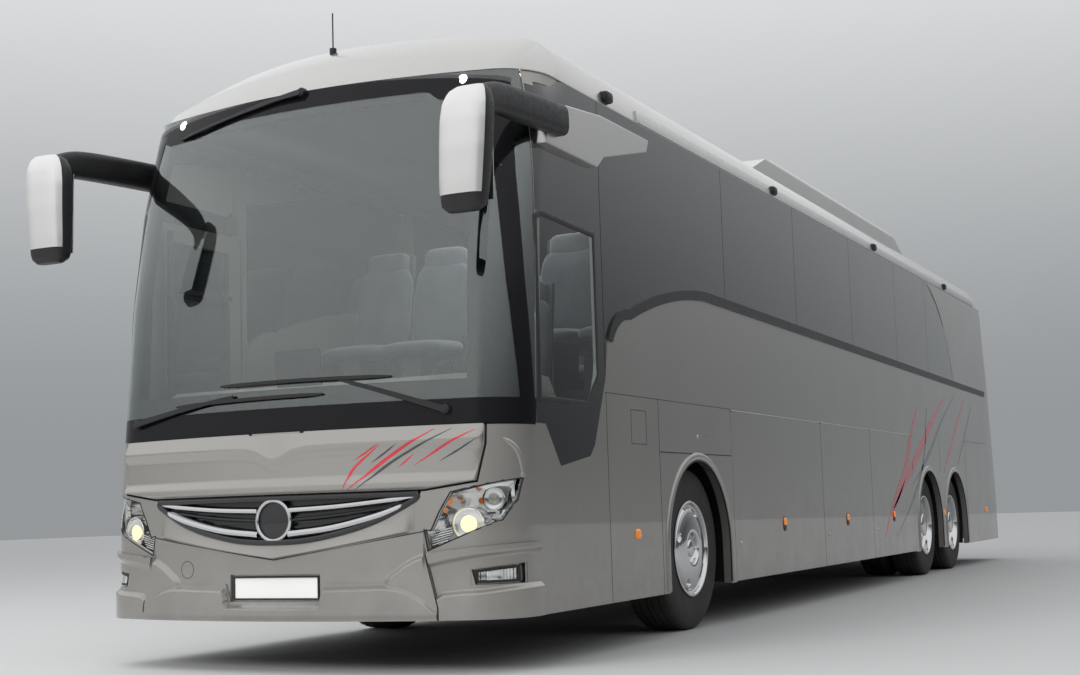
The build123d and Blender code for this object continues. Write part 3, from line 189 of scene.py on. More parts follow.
def material(name, colour, roughness, metallic=0.0, rough=None, patches=None, grain=None, **sockets):
    """A Principled material. Noise can vary it: rough is (scale, detail, low, high), patches is (scale,
    detail, second colour) and grain is (scale, detail, strength, distance) of a bump."""
    made = bpy.data.materials.new(name)
    made.use_nodes = True
    tree, shader = opened(made)
    values = {"Base_Color": (*colour, 1), "Roughness": roughness, "Metallic": metallic, **sockets}
    for socket, value in values.items():
        shader.inputs[socket.replace("_", " ")].default_value = value
    if rough:
        tree.links.new(spread(tree, noise(tree, *rough[:2]), *rough[2:]), shader.inputs["Roughness"])
    if patches:
        share = spread(tree, noise(tree, *patches[:2]), 0, 1)
        tree.links.new(mixed(tree, share, colour, patches[2]), shader.inputs["Base Color"])
    if grain:
        bumped(tree, shader, noise(tree, *grain[:2]), *grain[2:])
    return made


def road_dust_group():
    """Dust thrown up from the road: thick at the sill, gone at the waist, broken up by noise."""
    group = bpy.data.node_groups.new("road dust", "ShaderNodeTree")
    colour, number = "NodeSocketColor", "NodeSocketFloat"
    for name, kind in (("Color", colour), ("Roughness", number), ("Amount", number)):
        group.interface.new_socket(name, in_out="INPUT", socket_type=kind)
    for name, kind in (("Color", colour), ("Roughness", number)):
        group.interface.new_socket(name, in_out="OUTPUT", socket_type=kind)
    given = node(group, "NodeGroupInput")
    height = node(group, "ShaderNodeSeparateXYZ", {0: own_coordinates(group)})
    fade = spread(group, height.outputs["Z"], 1.0, 0.0, 0.25, 1.0)
    patches = spread(group, noise(group, 3.5, 6.0, 0.6), 0.2, 1.0)
    share = reckon(group, "MULTIPLY", reckon(group, "MULTIPLY", fade, patches), given.outputs["Amount"])
    colour = mixed(group, share, given.outputs["Color"], (0.13, 0.115, 0.095))
    rough = reckon(group, "ADD", share, given.outputs["Roughness"])
    node(group, "NodeGroupOutput", {"Color": colour, "Roughness": rough})
    return group


ROAD_DUST = road_dust_group()


def dusted(tree, shader, colour, roughness, amount):
    """Feeds a shader its colour and roughness through the road dust."""
    colour = colour if isinstance(colour, bpy.types.NodeSocket) else (*colour, 1)
    sockets = {"Color": colour, "Roughness": roughness, "Amount": amount}
    dust = node(tree, "ShaderNodeGroup", sockets, node_tree=ROAD_DUST)
    tree.links.new(dust.outputs["Color"], shader.inputs["Base Color"])
    tree.links.new(dust.outputs["Roughness"], shader.inputs["Roughness"])


WELD = 0.00002


def smooth_group(degrees):
    """Geometry nodes that weld a CAD node's loose triangles and smooth all but its sharp edges."""
    group = bpy.data.node_groups.new(f"smooth {degrees}", "GeometryNodeTree")
    group.interface.new_socket("Geometry", in_out="INPUT", socket_type="NodeSocketGeometry")
    group.interface.new_socket("Geometry", in_out="OUTPUT", socket_type="NodeSocketGeometry")
    given = node(group, "NodeGroupInput")
    weld = node(group, "GeometryNodeMergeByDistance", {"Geometry": given.outputs[0], "Distance": WELD})
    faces = node(group, "GeometryNodeSetShadeSmooth", {"Geometry": weld.outputs[0], "Shade Smooth": True})
    angle = node(group, "GeometryNodeInputMeshEdgeAngle")
    limits = {0: angle.outputs[0], 1: math.radians(degrees)}
    sharp = node(group, "FunctionNodeCompare", limits, operation="GREATER_THAN")
    kept = {"Geometry": faces.outputs[0], "Selection": sharp.outputs[0], "Shade Smooth": False}
    edges = node(group, "GeometryNodeSetShadeSmooth", kept, domain="EDGE")
    node(group, "NodeGroupOutput", {0: edges.outputs[0]})
    return group


SMOOTH = smooth_group(24)


def dress(names, finish):
    """Gives CAD nodes a material, and smooth shading over their gentle curves."""
    for name in names:
        piece = NODES[name]
        piece.data.materials.clear()
        piece.data.materials.append(finish)
        piece.modifiers.new("smooth", "NODES").node_group = SMOOTH


COATING_BLACK = (0.02, 0.02, 0.021)
chassis_black = material("chassis coating", COATING_BLACK, 0.5, grain=(160, 4.0, 0.2, 0.001))
tree, shader = opened(chassis_black)
dusted(tree, shader, COATING_BLACK, spread(tree, noise(tree, 14, 5.0), 0.42, 0.6), 0.7)
CHASSIS = ["underframe", "front_axle", "knuckle_left", "knuckle_right", "drive_axle", "tag_axle"]
dress(CHASSIS + ["door_arm_front", "door_arm_mid"], chassis_black)

ENGINE_GREY, ENGINE_OIL = (0.10, 0.10, 0.105), (0.035, 0.03, 0.026)
engine_look = {"patches": (5, 6.0, ENGINE_OIL), "grain": (220, 4.0, 0.4, 0.0015)}
dress(["engine_block"], material("engine casting", ENGINE_GREY, 0.6, 0.4, **engine_look))

# Wheel housings and roof hatches: grained black plastic, the housings screwed into the arches and the
# hatches hinged on the roof.
BLACK_TONE = (0.011, 0.011, 0.012)
PLASTIC_LOOK = {"rough": (40, 5.0, 0.38, 0.55), "grain": (900, 2.0, 0.12, 0.0004)}
black_plastic = material("black plastic", BLACK_TONE, 0.45, **PLASTIC_LOOK)
dress(["wheel_housings", "roof_hatches"], black_plastic)

# Floors and stairs: plywood under a dark speckled covering, glued down over the frame.
# They show through the windscreen, in the doors and past the open luggage flaps.
COVER_DARK, COVER_SPECK = (0.055, 0.055, 0.06), (0.13, 0.13, 0.14)
cover_look = {"patches": (500, 2.0, COVER_SPECK), "grain": (700, 2.0, 0.15, 0.0005)}
dress(["floor_deck"], material("floor covering", COVER_DARK, 0.7, **cover_look))

# Dashboard: grained plastic in a warm grey, moulded in one piece and screwed to the bulkhead
# behind the windscreen.
DASH_PALE, DASH_DEEP = (0.36, 0.355, 0.33), (0.27, 0.265, 0.245)
dash_look = {"patches": (6, 3.0, DASH_DEEP), "grain": (1400, 2.0, 0.2, 0.0004)}
dress(["dashboard"], material("cab plastic", DASH_PALE, 0.55, **dash_look))

# Steering wheel: a padded rim on a steel ring with three broad spokes and a moulded boss,
# clamped to the end of the raked column.
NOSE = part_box("front_bumper")[0][1]
COLUMN_END = np.array((0.64, NOSE + 0.905, 1.43))
COLUMN_WAY = np.array((0.0, 0.145, 0.1)) / math.hypot(0.145, 0.1)
RIM_RADIUS, RIM_THICK, RIM_LIFT = 0.212, 0.0125, 0.0135
# Spoke: half widths at distances from the hub. Boss: radius, height along the column
SPOKE = [(0.04, -0.024), (0.12, -0.014), (RIM_RADIUS, -0.022)]
SPOKE += [(RIM_RADIUS, 0.022), (0.12, 0.014), (0.04, 0.024)]
BOSS = [(0.0, 0.001), (0.055, 0.001), (0.06, 0.008), (0.054, 0.018), (0.03, 0.023), (0.0, 0.024)]


def grid_faces(rows, columns, rows_closed, columns_closed):
    """The four-sided faces between the points of a grid, wrapped round where it is closed."""
    last = rows - (not rows_closed), columns - (not columns_closed)
    i, j = np.meshgrid(np.arange(last[0]), np.arange(last[1]), indexing="ij")
    i, j = i.ravel(), j.ravel()
    up, across = (i + 1) % rows, (j + 1) % columns
    return np.stack([i * columns + j, i * columns + across, up * columns + across, up * columns + j], -1)


def skinned(points, rows_closed=False):
    """A grid of points as a surface of rings. Unless its rows close as well, its two ends get caps."""
    rows, columns = points.shape[:2]
    faces = grid_faces(rows, columns, rows_closed, True).tolist()
    if not rows_closed:
        faces.append(list(range(columns))[::-1])
        faces.append(list(range((rows - 1) * columns, rows * columns)))
    return points.reshape(-1, 3), faces


def walled(front, back):
    """Two matching grids as a closed wall: the front, the back and the rim between them."""
    rows, columns = front.shape[:2]
    count = rows * columns
    faces = grid_faces(rows, columns, False, False)
    foot, head = np.arange(columns), count - 1 - np.arange(1, columns)
    right, left = np.arange(1, rows) * columns + columns - 1, np.arange(rows - 2, 0, -1) * columns
    border = np.concatenate([foot, right, head, left])
    after = np.roll(border, -1)
    rim = np.stack([border, border + count, after + count, after], -1)
    both = np.concatenate([front.reshape(-1, 3), back.reshape(-1, 3)])
    return both, np.concatenate([faces, faces[:, ::-1] + count, rim]).tolist()


def piece(name, parts, finish, slot, body="coach", crease=30.0):
    """Joins surfaces into one object that rides on a body, with normals outwards and gentle edges smooth."""
    points, faces, start = [], [], 0
    for part_points, part_faces in parts:
        points.append(part_points)
        faces += [[start + corner for corner in face] for face in part_faces]
        start += len(part_points)
    mesh = bpy.data.meshes.new(name)
    mesh.from_pydata(np.concatenate(points).tolist(), [], faces)
    shape = bmesh.new()
    shape.from_mesh(mesh)
    bmesh.ops.remove_doubles(shape, verts=shape.verts, dist=1e-6)
    bmesh.ops.recalc_face_normals(shape, faces=shape.faces)
    shape.to_mesh(mesh)
    shape.free()
    mesh.shade_smooth()
    mesh.set_sharp_from_angle(angle=math.radians(crease))
    mesh.materials.append(finish)
    made = bpy.data.objects.new(name, mesh)
    bpy.context.collection.objects.link(made)
    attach(made, body)
    return made


def turned(profile, centre, axis, steps=48, closed=False):
    """A profile of (radius, distance along the axis) turned round an axis through a centre."""
    profile = np.asarray(profile, float)
    axis = np.asarray(axis, float) / np.linalg.norm(axis)
    first = np.cross(axis, (0.0, 0.0, 1.0) if abs(axis[2]) < 0.9 else (1.0, 0.0, 0.0))
    first /= np.linalg.norm(first)
    second = np.cross(axis, first)
    turn = np.linspace(0, 2 * np.pi, steps, endpoint=False)[None, :, None]
    radius, along = profile[:, 0][:, None, None], profile[:, 1][:, None, None]
    outward = np.cos(turn) * first + np.sin(turn) * second
    points = np.asarray(centre, float) + radius * outward + along * axis
    return skinned(points, rows_closed=closed)


def ring_profile(radius, thick, along=0.0, count=12):
    """A round section at a radius: the profile of a ring."""
    turn = np.linspace(0, 2 * np.pi, count, endpoint=False)
    return np.stack([radius + thick * np.cos(turn), along + thick * np.sin(turn)], -1)


def slab(outline, origin, first, second, thick):
    """A flat outline in a tilted plane, given a thickness along the plane's normal."""
    outline = np.asarray(outline, float)
    first, second = np.asarray(first, float), np.asarray(second, float)
    flat = np.asarray(origin, float) + outline[:, :1] * first + outline[:, 1:] * second
    return skinned(np.stack([flat, flat + thick * np.cross(first, second)]))


wheel_black = material("steering wheel leather", (0.03, 0.03, 0.032), 0.55, grain=(800, 3.0, 0.3, 0.0004))
wheel_side = np.array((1.0, 0.0, 0.0))
wheel_up = np.cross(COLUMN_WAY, wheel_side)
spokes = []
for angle in np.radians((20, 160, 270)):
    outward = math.cos(angle) * wheel_side + math.sin(angle) * wheel_up
    beside = np.cross(COLUMN_WAY, outward)
    spokes.append(slab(SPOKE, COLUMN_END + 0.006 * COLUMN_WAY, outward, beside, 0.01))
boss = turned(BOSS, COLUMN_END, COLUMN_WAY, 32)
rim = turned(ring_profile(RIM_RADIUS, RIM_THICK, RIM_LIFT), COLUMN_END, COLUMN_WAY, 64, closed=True)
steering_wheel = piece("steering_rim", [rim, boss, *spokes], wheel_black, "cab_plastic")
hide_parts("steering_wheel")

# Seats: moulded foam cushions and backs in woven cloth, in pairs on plastic feet and back shells, with a
# bench at the rear. The driver has a broader seat. Each pad is crowned and pinched at its edge, and all but
# the head pads are sewn in channels.
FIRST_ROW, SEAT_PITCH, ROW_COUNT, ROW_LONG = 2.15, 0.79, 13, 0.66
BENCH, BENCH_X = 12.48, (-0.93, -0.465, 0, 0.465, 0.93)
MID_WELL = (7.27, 8.29)
DECK, CAB_FLOOR = 1.48, 1.0
SEAT_X, SEAT_WIDE = (0.4825, 0.9475), 0.445
DRIVER_SEAT = (0.64, 1.01, CAB_FLOOR, 0.49)
CLOTH_DARK, CLOTH_PALE, CLOTH_DEEP = (0.06, 0.065, 0.08), (0.15, 0.155, 0.165), (0.02, 0.024, 0.04)
# Side outlines of a seat's foot and of its back's shell: distance from the cushion's front, height
SEAT_FOOT = [(0.07, 0.02), (0.07, 0.34), (0.44, 0.34), (0.47, 0.32), (0.45, 0.02)]
SEAT_SHELL = [(0.44, 0.34), (0.53, 0.36), (0.635, 1.10), (0.625, 1.12), (0.60, 1.11), (0.50, 0.40)]
# Powers of a pad's plan, which is nearly square, and of its depth, which is nearly round
PAD_SQUARE, PAD_ROUND = 0.42, 0.7


def squared(value, power):
    """A power that keeps the sign: on a circle's sine and cosine it squares the circle off."""
    return np.sign(value) * np.abs(value) ** power


def pad(centre, half, lean, crown, channels=0.0, rows=22, columns=26):
    """A crowned pad: a rounded box whose faces bulge by crown at the middle and thin out to the piped edge.

    Each point is the sign-kept power of a sphere's, x = half * s |sin|^p, which squares the plan and keeps
    the faces round. Channels are shallow cosine folds across the face. The pad then leans back about X.
    """
    up = np.linspace(-np.pi / 2, np.pi / 2, rows)[:, None]
    turn = np.linspace(0, 2 * np.pi, columns, endpoint=False)[None, :]
    plan = squared(np.cos(up), PAD_SQUARE)
    x, z = (plan * squared(wave(turn), PAD_SQUARE) for wave in (np.cos, np.sin))
    y = squared(np.sin(up), PAD_ROUND) + 0 * turn
    bulge = 1 + crown * (1 - x**2) * (1 - z**2)
    folds = 1 - channels * (0.5 + 0.5 * np.cos(5 * np.pi * z)) * (1 - x**2)
    local = np.stack([half[0] * x, half[1] * y * bulge * folds, half[2] * z], -1)
    swing = np.array([[1, 0, 0], [0, math.cos(lean), math.sin(lean)], [0, -math.sin(lean), math.cos(lean)]])
    return skinned(local @ swing.T + np.asarray(centre, float))


def seat(x, front, floor, width):
    """A cushion, a back with a pinched waist and a head pad, placed by the front of the cushion."""
    # Columns: distance, height, narrower by, half depth, half height, lean, crown, channels, rows, columns
    pads = (
        (0.235, 0.405, 0.0, 0.045, 0.235, 86, 0.25, 0.05, 22, 26),
        (0.505, 0.72, 0.008, 0.042, 0.31, 10, 0.25, 0.06, 22, 26),
        (0.578, 1.045, 0.06, 0.04, 0.095, 10, 0.2, 0.0, 14, 20),
    )
    return [
        pad((x, NOSE + front + d, floor + z), (width / 2 - less, deep, high), math.radians(lean), *rest)
        for d, z, less, deep, high, lean, *rest in pads
    ]


seat_cloth = material("seat cloth", CLOTH_DARK, 0.85, Sheen_Weight=0.4)
tree, shader = opened(seat_cloth)
weave_sockets = {"Vector": own_coordinates(tree), "Scale": 240, "Distortion": 2.0}
weave = node(tree, "ShaderNodeTexWave", weave_sockets, bands_direction="DIAGONAL")
threads = mixed(tree, spread(tree, noise(tree, 260, 3.0), 0, 1), CLOTH_DARK, CLOTH_PALE)
shade = mixed(tree, spread(tree, noise(tree, 5, 3.0), 0, 0.4), threads, CLOTH_DEEP)
tree.links.new(shade, shader.inputs["Base Color"])
bumped(tree, shader, weave.outputs["Fac"], 0.35, 0.0006)

places = []
for row in range(ROW_COUNT):
    front = FIRST_ROW + row * SEAT_PITCH
    sides = (1, -1) if front + ROW_LONG < MID_WELL[0] or front > MID_WELL[1] else (1,)
    places += [(side * x, front, DECK, SEAT_WIDE) for side in sides for x in SEAT_X]
places += [(x, BENCH, DECK, SEAT_WIDE) for x in BENCH_X] + [DRIVER_SEAT]
pads = [seat(*place) for place in places]
rests = [part for _, back, head in pads for part in (back, head)]
cushions = piece("seat_cushions", [cushion for cushion, _, _ in pads], seat_cloth, "seat_fabric", crease=60)
backs = piece("seat_backs", rests, seat_cloth, "seat_fabric", crease=60)

seat_plastic = material("seat shell plastic", (0.06, 0.06, 0.065), 0.5, grain=(1200, 2.0, 0.2, 0.0004))
shells = []
for x, front, floor, width in places:
    half = width / 2 - 0.03
    for outline, reach in ((SEAT_FOOT, half - 0.12), (SEAT_SHELL, half)):
        sheet = np.array([(x - reach, NOSE + front + d, floor + z) for d, z in outline])
        shells.append(skinned(np.stack([sheet, sheet + (2 * reach, 0, 0)])))
seat_shells = piece("seat_shells", shells, seat_plastic, "cab_plastic")
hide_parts("seats")

# Painted shell: steel and plastic panels in a champagne grey metallic under a clear coat.
# It covers the sides, the nose, the tail, the doors and every flap, each hung or bonded on the frame.
PAINT_LIGHT, PAINT_DARK = (0.42, 0.405, 0.378), (0.315, 0.303, 0.283)


def metallic_paint(name, light, dark, dust):
    """Two tones of metal flake under a clear coat, with a trace of orange peel."""
    peel = (120, 2.0, 0.02, 0.001)
    made = material(name, light, 0.3, 0.8, grain=peel, Coat_Weight=1.0, Coat_Roughness=0.03)
    tree, shader = opened(made)
    flakes = spread(tree, noise(tree, 2600, 1.0), 0.0, 1.0)
    colour = mixed(tree, flakes, light, dark)
    rough = spread(tree, noise(tree, 1.7, 4.0), 0.27, 0.35)
    dusted(tree, shader, colour, rough, dust)
    return made


shell_paint = metallic_paint("champagne metallic paint", PAINT_LIGHT, PAINT_DARK, 0.3)
SHELL = ["side_wall_left", "side_wall_right", "front_mask", "front_flap", "front_bumper"]
SHELL += ["rear_wall", "rear_bumper", "engine_flap", "door_front", "door_mid"]
SHELL += [name for name in NODES if name.startswith("luggage_flap")]
dress(SHELL, shell_paint)

# Panel seams: black sealing strips in the joints between panels, and along the belt line thin black strips of
# painted shadow.
# They are laid on the skin by one function, which gives a point anywhere on the nose and the sides.
HALF = 1.275
LENGTH = 13.935
# The nose: heights where its faces start and their leans in degrees, its height, and the radii of its plan
NOSE_LEANS = ((0.262, 0), (0.85, 5.2), (2.0, 9.5), (2.6, 16), (3.11, 36), (3.29, 60))
NOSE_TOP, BOW, CORNER = 3.45, 4.0, 0.3


def leaning_faces():
    """The nose's leaning faces, each as the distance and height of its foot and its lean."""
    faces, distance = [], 0.0
    for (low, lean), (high, _) in zip(NOSE_LEANS, NOSE_LEANS[1:] + ((NOSE_TOP, 0),)):
        faces.append((distance, low, math.radians(lean)))
        distance += (high - low) * math.tan(math.radians(lean))
    return faces


FACES = leaning_faces()
# Angle at the bow's end, depth of the corner's centre, and the runs to the bow's and the corner's ends
BOW_TURN = math.asin((HALF - CORNER) / (BOW - CORNER))
CORNER_DEPTH = BOW - math.sqrt((BOW - CORNER) ** 2 - (HALF - CORNER) ** 2)
TO_CORNER = BOW * BOW_TURN
TO_SIDE = TO_CORNER + CORNER * (math.pi / 2 - BOW_TURN)


def behind_nose(depth, z):
    """The distance of a place this deep in plan: the rearmost of the leaning faces counts."""
    return np.max([d + depth / math.cos(a) + (z - h) * math.tan(a) for d, h, a in FACES], axis=0)


def skin(u, z, lift=0.0):
    """A point of the skin. u runs round the plan from the middle of the nose, over the bow, round the corner
    and along the side. On the bow x = bow sin(u / bow). Lift is the height off the skin."""
    u, z, lift = np.broadcast_arrays(np.asarray(u, float), np.asarray(z, float), np.asarray(lift, float))
    run = np.abs(u)
    angle = np.minimum(run / BOW, BOW_TURN)
    beta = np.minimum(BOW_TURN + np.maximum(run - TO_CORNER, 0) / CORNER, np.pi / 2)
    on_bow = run <= TO_CORNER
    x = np.where(on_bow, (BOW + lift) * np.sin(angle), HALF - CORNER + (CORNER + lift) * np.sin(beta))
    on_corner = CORNER_DEPTH - (CORNER + lift) * np.cos(beta)
    depth = np.where(on_bow, BOW - (BOW + lift) * np.cos(angle), on_corner)
    y = NOSE + behind_nose(depth, z) + np.maximum(run - TO_SIDE, 0)
    return np.stack([np.sign(u) * x, y, z], -1)


def layer(u, z, front, back):
    """A closed layer between two lifts off the skin."""
    return walled(skin(u, z, front), skin(u, z, back))


def between(low, high, rows):
    """Rows of heights from a low edge to a high one."""
    return low + np.linspace(0, 1, rows)[:, None] * (high - low)


def facing(points):
    """Front-view points (x, height) as (u, height)."""
    points = np.asarray(points, float)
    x = np.abs(points[:, 0])
    on_bow = BOW * np.arcsin(np.minimum(x / BOW, math.sin(BOW_TURN)))
    beta = np.arcsin(np.clip((x - HALF + CORNER) / CORNER, math.sin(BOW_TURN), 1))
    run = np.where(x <= BOW * math.sin(BOW_TURN), on_bow, TO_CORNER + CORNER * (beta - BOW_TURN))
    return np.stack([np.sign(points[:, 0]) * run, points[:, 1]], -1)


def flank(points, side=1):
    """Side-view points (distance, height) as (u, height), for the left side or, with -1, the right."""
    distance, z = np.asarray(points, float).T
    depth = np.min([(distance - d - (z - h) * math.tan(a)) * math.cos(a) for d, h, a in FACES], axis=0)
    beta = np.arccos(np.clip((CORNER_DEPTH - depth) / CORNER, 0, math.cos(BOW_TURN)))
    along = TO_SIDE + distance - behind_nose(CORNER_DEPTH, z)
    run = np.where(depth < CORNER_DEPTH, TO_CORNER + CORNER * (beta - BOW_TURN), along)
    return np.stack([side * run, z], -1)


def through(points, count=40):
    """A smooth path through a few points: between two of them, the Catmull-Rom cubic of their neighbours."""
    points = np.asarray(points, float)
    padded = np.concatenate([2 * points[:1] - points[1:2], points, 2 * points[-1:] - points[-2:-1]])
    place = np.linspace(0, len(points) - 1, count)
    start = np.minimum(place.astype(int), len(points) - 2)
    t = (place - start)[:, None]
    a, b, c, d = (padded[start + step] for step in range(4))
    return 0.5 * (2 * b + (c - a) * t + (2 * a - 5 * b + 4 * c - d) * t**2 + (3 * b - a - 3 * c + d) * t**3)


def arc(centre, radius, start, stop, count=40):
    """Points on a circle's arc between two angles in degrees."""
    angle = np.radians(np.linspace(start, stop, count))
    return np.stack([centre[0] + radius * np.cos(angle), centre[1] + radius * np.sin(angle)], -1)


def subdivided(path, step=0.06):
    """A path of straight runs with points added, so that it can follow the skin."""
    path = np.asarray(path, float)
    counts = [max(2, int(np.linalg.norm(b - a) / step) + 2) for a, b in zip(path, path[1:])]
    runs = [np.linspace(a, b, count)[:-1] for a, b, count in zip(path, path[1:], counts)]
    return np.concatenate([*runs, path[-1:]])


def ridge(width, height, count=7, sunk=0.001):
    """The section of a rounded ridge: half an ellipse that stands on the skin."""
    turn = np.linspace(np.pi, 0, count)
    top = np.stack([width / 2 * np.cos(turn), height * np.sin(turn)], -1)
    return np.concatenate([top, [(width / 2, -sunk), (-width / 2, -sunk)]])


def flat(width, height, sunk=0.001):
    """The section of a flat strip."""
    half = width / 2
    return np.array([(-half, -sunk), (-half, height), (half, height), (half, -sunk)])


def strip(path, section, closed=False, taper=None):
    """A section of (across, lift) carried along a path (u, height) on the skin. Corners are mitred."""
    path = np.asarray(path, float)
    step = np.roll(path, -1, axis=0) - path
    if not closed:
        step[-1] = step[-2]
    normal = np.stack([-step[:, 1], step[:, 0]], -1) / np.maximum(np.linalg.norm(step, axis=1), 1e-9)[:, None]
    before = np.roll(normal, 1, axis=0)
    if not closed:
        before[0] = normal[0]
    both = normal + before
    mitre = both / np.maximum(np.sum(both * normal, axis=1), 0.5)[:, None]
    width = np.ones(len(path)) if taper is None else np.interp(np.linspace(0, 1, len(path)), *taper)
    spots = path[:, None, :] + mitre[:, None, :] * (section[None, :, 0] * width[:, None])[..., None]
    lifts = section[None, :, 1] * width[:, None]
    return skinned(skin(spots[..., 0], spots[..., 1], lifts), rows_closed=closed)


def mirrored(parts):
    """The same surfaces on the other side of the coach."""
    return [(points * (-1, 1, 1), [face[::-1] for face in faces]) for points, faces in parts]


def both_sides(parts):
    """Surfaces together with their mirror images."""
    return parts + mirrored(parts)


# The seams' black also serves as painted shadow along the belt line.
seam_and_shadow_black = material("sealing strip and painted shadow", (0.012, 0.012, 0.012), 0.6, grain=(600, 2.0, 0.2, 0.0003))
BELT, SILL = 1.43, 0.262
THIN, WIDE = flat(0.004, 0.0006), flat(0.007, 0.0008)
# Columns: sides, path of (distance, height), section
SEAMS_AND_BELT_SHADOW = [
    ((1,), [(1.389, SILL), (1.389, BELT)], THIN),
    ((1, -1), [(2.171, SILL), (2.171, BELT)], THIN),
    ((1, -1), [(2.171, 1.112), (3.49, 1.112)], WIDE),
    ((1, -1), [(10.331, 1.076), (10.331, BELT)], THIN),
    ((1, -1), [(11.75, SILL), (11.75, BELT), (13.134, BELT)], THIN),
    # These two rows are not joints: they are thin black strips of painted shadow at the belt line.
    ((1,), [(1.379, BELT), (3.5, BELT)], THIN),
    ((-1,), [(1.5, BELT), (3.5, BELT)], THIN),
]
seams_and_belt_shadow = [strip(flank(path, side), section) for sides, path, section in SEAMS_AND_BELT_SHADOW for side in sides]
piece("panel_seams_and_belt_shadow", seams_and_belt_shadow, seam_and_shadow_black, "black_plastic")

# Wheel arches: a rolled edge of the painted panel round each wheel, with a black plastic lip pressed on
# inside it.
ARCH, HUB = 0.564, 0.512
ARCH_FOOT = SILL + 0.012
AXLES = {"front": 2.835, "drive": 9.745, "tag": 11.095}
flanges, lips = [], []
for distance in AXLES.values():
    round_wheel = arc((distance, HUB), ARCH, 180, 0, 48)
    edge = flank([(distance - ARCH, ARCH_FOOT), *round_wheel, (distance + ARCH, ARCH_FOOT)])
    flanges.append(strip(edge, ridge(0.05, 0.013) + (0.021, 0)))
    lips.append(strip(edge, flat(0.012, 0.007) + (-0.006, 0)))
piece("arch_flanges", both_sides(flanges), shell_paint, "body_paint")
piece("arch_lips", both_sides(lips), black_plastic, "black_plastic")

# Fuel flap, locks and side markers: a flush flap with a thin gap, round turn locks low on the panels,
# and amber lenses in black holders along the sill.
FUEL = [(1.741, 1.152), (1.969, 1.152), (1.969, 1.349), (1.741, 1.349)]
# Locks and markers by the body that they ride on. Columns: side, distance, and for a lock its height
LOCKS = {
    "coach": [(1, 2.844, 1.222), (1, 2.27, 0.46), (-1, 2.27, 0.46)],
    "luggage_left_1": [(1, 3.62, 0.52)],
    "luggage_left_2": [(1, 5.83, 0.52)],
    "luggage_left_3": [(1, 7.42, 0.52)],
    "luggage_right_1": [(-1, 3.62, 0.52)],
    "luggage_right_2": [(-1, 5.52, 0.52)],
}
MARKERS = {
    "coach": [(1, 1.784), (1, 10.4), (1, 12.884), (-1, 1.784), (-1, 8.62), (-1, 10.4), (-1, 12.884)],
    "luggage_left_1": [(1, 4.635)],
    "luggage_left_2": [(1, 6.43)],
    "luggage_left_3": [(1, 8.1)],
    "luggage_right_1": [(-1, 4.635)],
    "luggage_right_2": [(-1, 6.43)],
}
MARKER_HEIGHT, MARKER_RAISED = 0.63, 0.016
# Half length, half height and thickness of a marker's lens and holder
LENS_SIZE, HOLDER_SIZE = (0.036, 0.03, 0.014), (0.042, 0.055, 0.006)
# Powers of their plan, which is nearly square, and of their dome's edge
LENS_SQUARE, LENS_DOME = 0.55, 0.5
# Columns: radius, distance off the panel
LOCK_PROFILE = [(0.0, -0.001), (0.014, -0.001), (0.014, 0.003), (0.011, 0.005), (0.004, 0.005), (0.0, 0.003)]

piece("fuel_flap_gap", [strip(flank(FUEL), THIN, closed=True)], seam_and_shadow_black, "black_plastic")

chrome = material("chrome", (0.66, 0.66, 0.67), 0.06, 1.0, rough=(25, 5.0, 0.03, 0.11))
for body, spots in LOCKS.items():
    locks = [turned(LOCK_PROFILE, (side * HALF, NOSE + d, z), (side, 0, 0), 20) for side, d, z in spots]
    piece(f"panel_locks_{body}", locks, chrome, "rim_chrome", body)

AMBER, AMBER_DEEP, AMBER_GLOW = (0.80, 0.24, 0.01), (0.55, 0.12, 0.005), (0.9, 0.25, 0.01, 1)
glow = {"Emission_Strength": 0.35, "Emission_Color": AMBER_GLOW}
amber = material("amber lens", AMBER, 0.12, Coat_Weight=1.0, **glow)
tree, shader = opened(amber)
ribs_sockets = {"Vector": own_coordinates(tree), "Scale": 55}
ribs = node(tree, "ShaderNodeTexWave", ribs_sockets, bands_direction="Z").outputs["Fac"]
tree.links.new(mixed(tree, ribs, AMBER, AMBER_DEEP), shader.inputs["Base Color"])
bumped(tree, shader, ribs, 0.5, 0.001)


def lens(side, distance, height, size, rows=8, columns=24):
    """A low rounded lens on the side: a flattened dome whose plan is a squared-off circle."""
    up = np.linspace(0, np.pi / 2, rows)[:, None]
    turn = np.linspace(0, 2 * np.pi, columns, endpoint=False)[None, :]
    plan = np.cos(up) ** LENS_DOME
    d = distance + size[0] * plan * squared(np.cos(turn), LENS_SQUARE)
    z = height + size[1] * plan * squared(np.sin(turn), LENS_SQUARE)
    x = side * (HALF - 0.001 + (size[2] + 0.001) * np.sin(up)) + 0 * turn
    return skinned(np.stack([x, NOSE + d, z], -1))


for body, spots in MARKERS.items():
    raised = 0.0 if body == "coach" else MARKER_RAISED
    lenses = [lens(*spot, MARKER_HEIGHT + raised, LENS_SIZE) for spot in spots]
    piece(f"marker_lenses_{body}", lenses, amber, "lamp_red", body)
    if raised:
        holders = [lens(*spot, MARKER_HEIGHT, HOLDER_SIZE) for spot in spots]
        piece(f"marker_holders_{body}", holders, black_plastic, "black_plastic", body)

# Side glass: panes of dark privacy glass, bonded flush over the window pillars with thin joints between them.
# The driver's window is a clear pane in a black plastic frame, in the same band.
GLASS = 0.006
RAIL = 3.105
SPIKE = [(0.493, 1.226), (0.6, 1.226), (0.77, 1.01), (1.151, 1.069)]
SPIKE += [(1.215, 1.13), (1.391, 1.51), (1.43, 1.74)]
SWOOSH = [(1.43, 1.74), (1.53, 1.862), (1.75, 1.935), (2.307, 2.09), (3.1, 2.19), (11.33, 2.1)]
GLASS_TAIL = [(11.33, 2.1), (11.15, 2.42), (10.98, 2.64), (10.6, 2.9), (10.1, RAIL)]
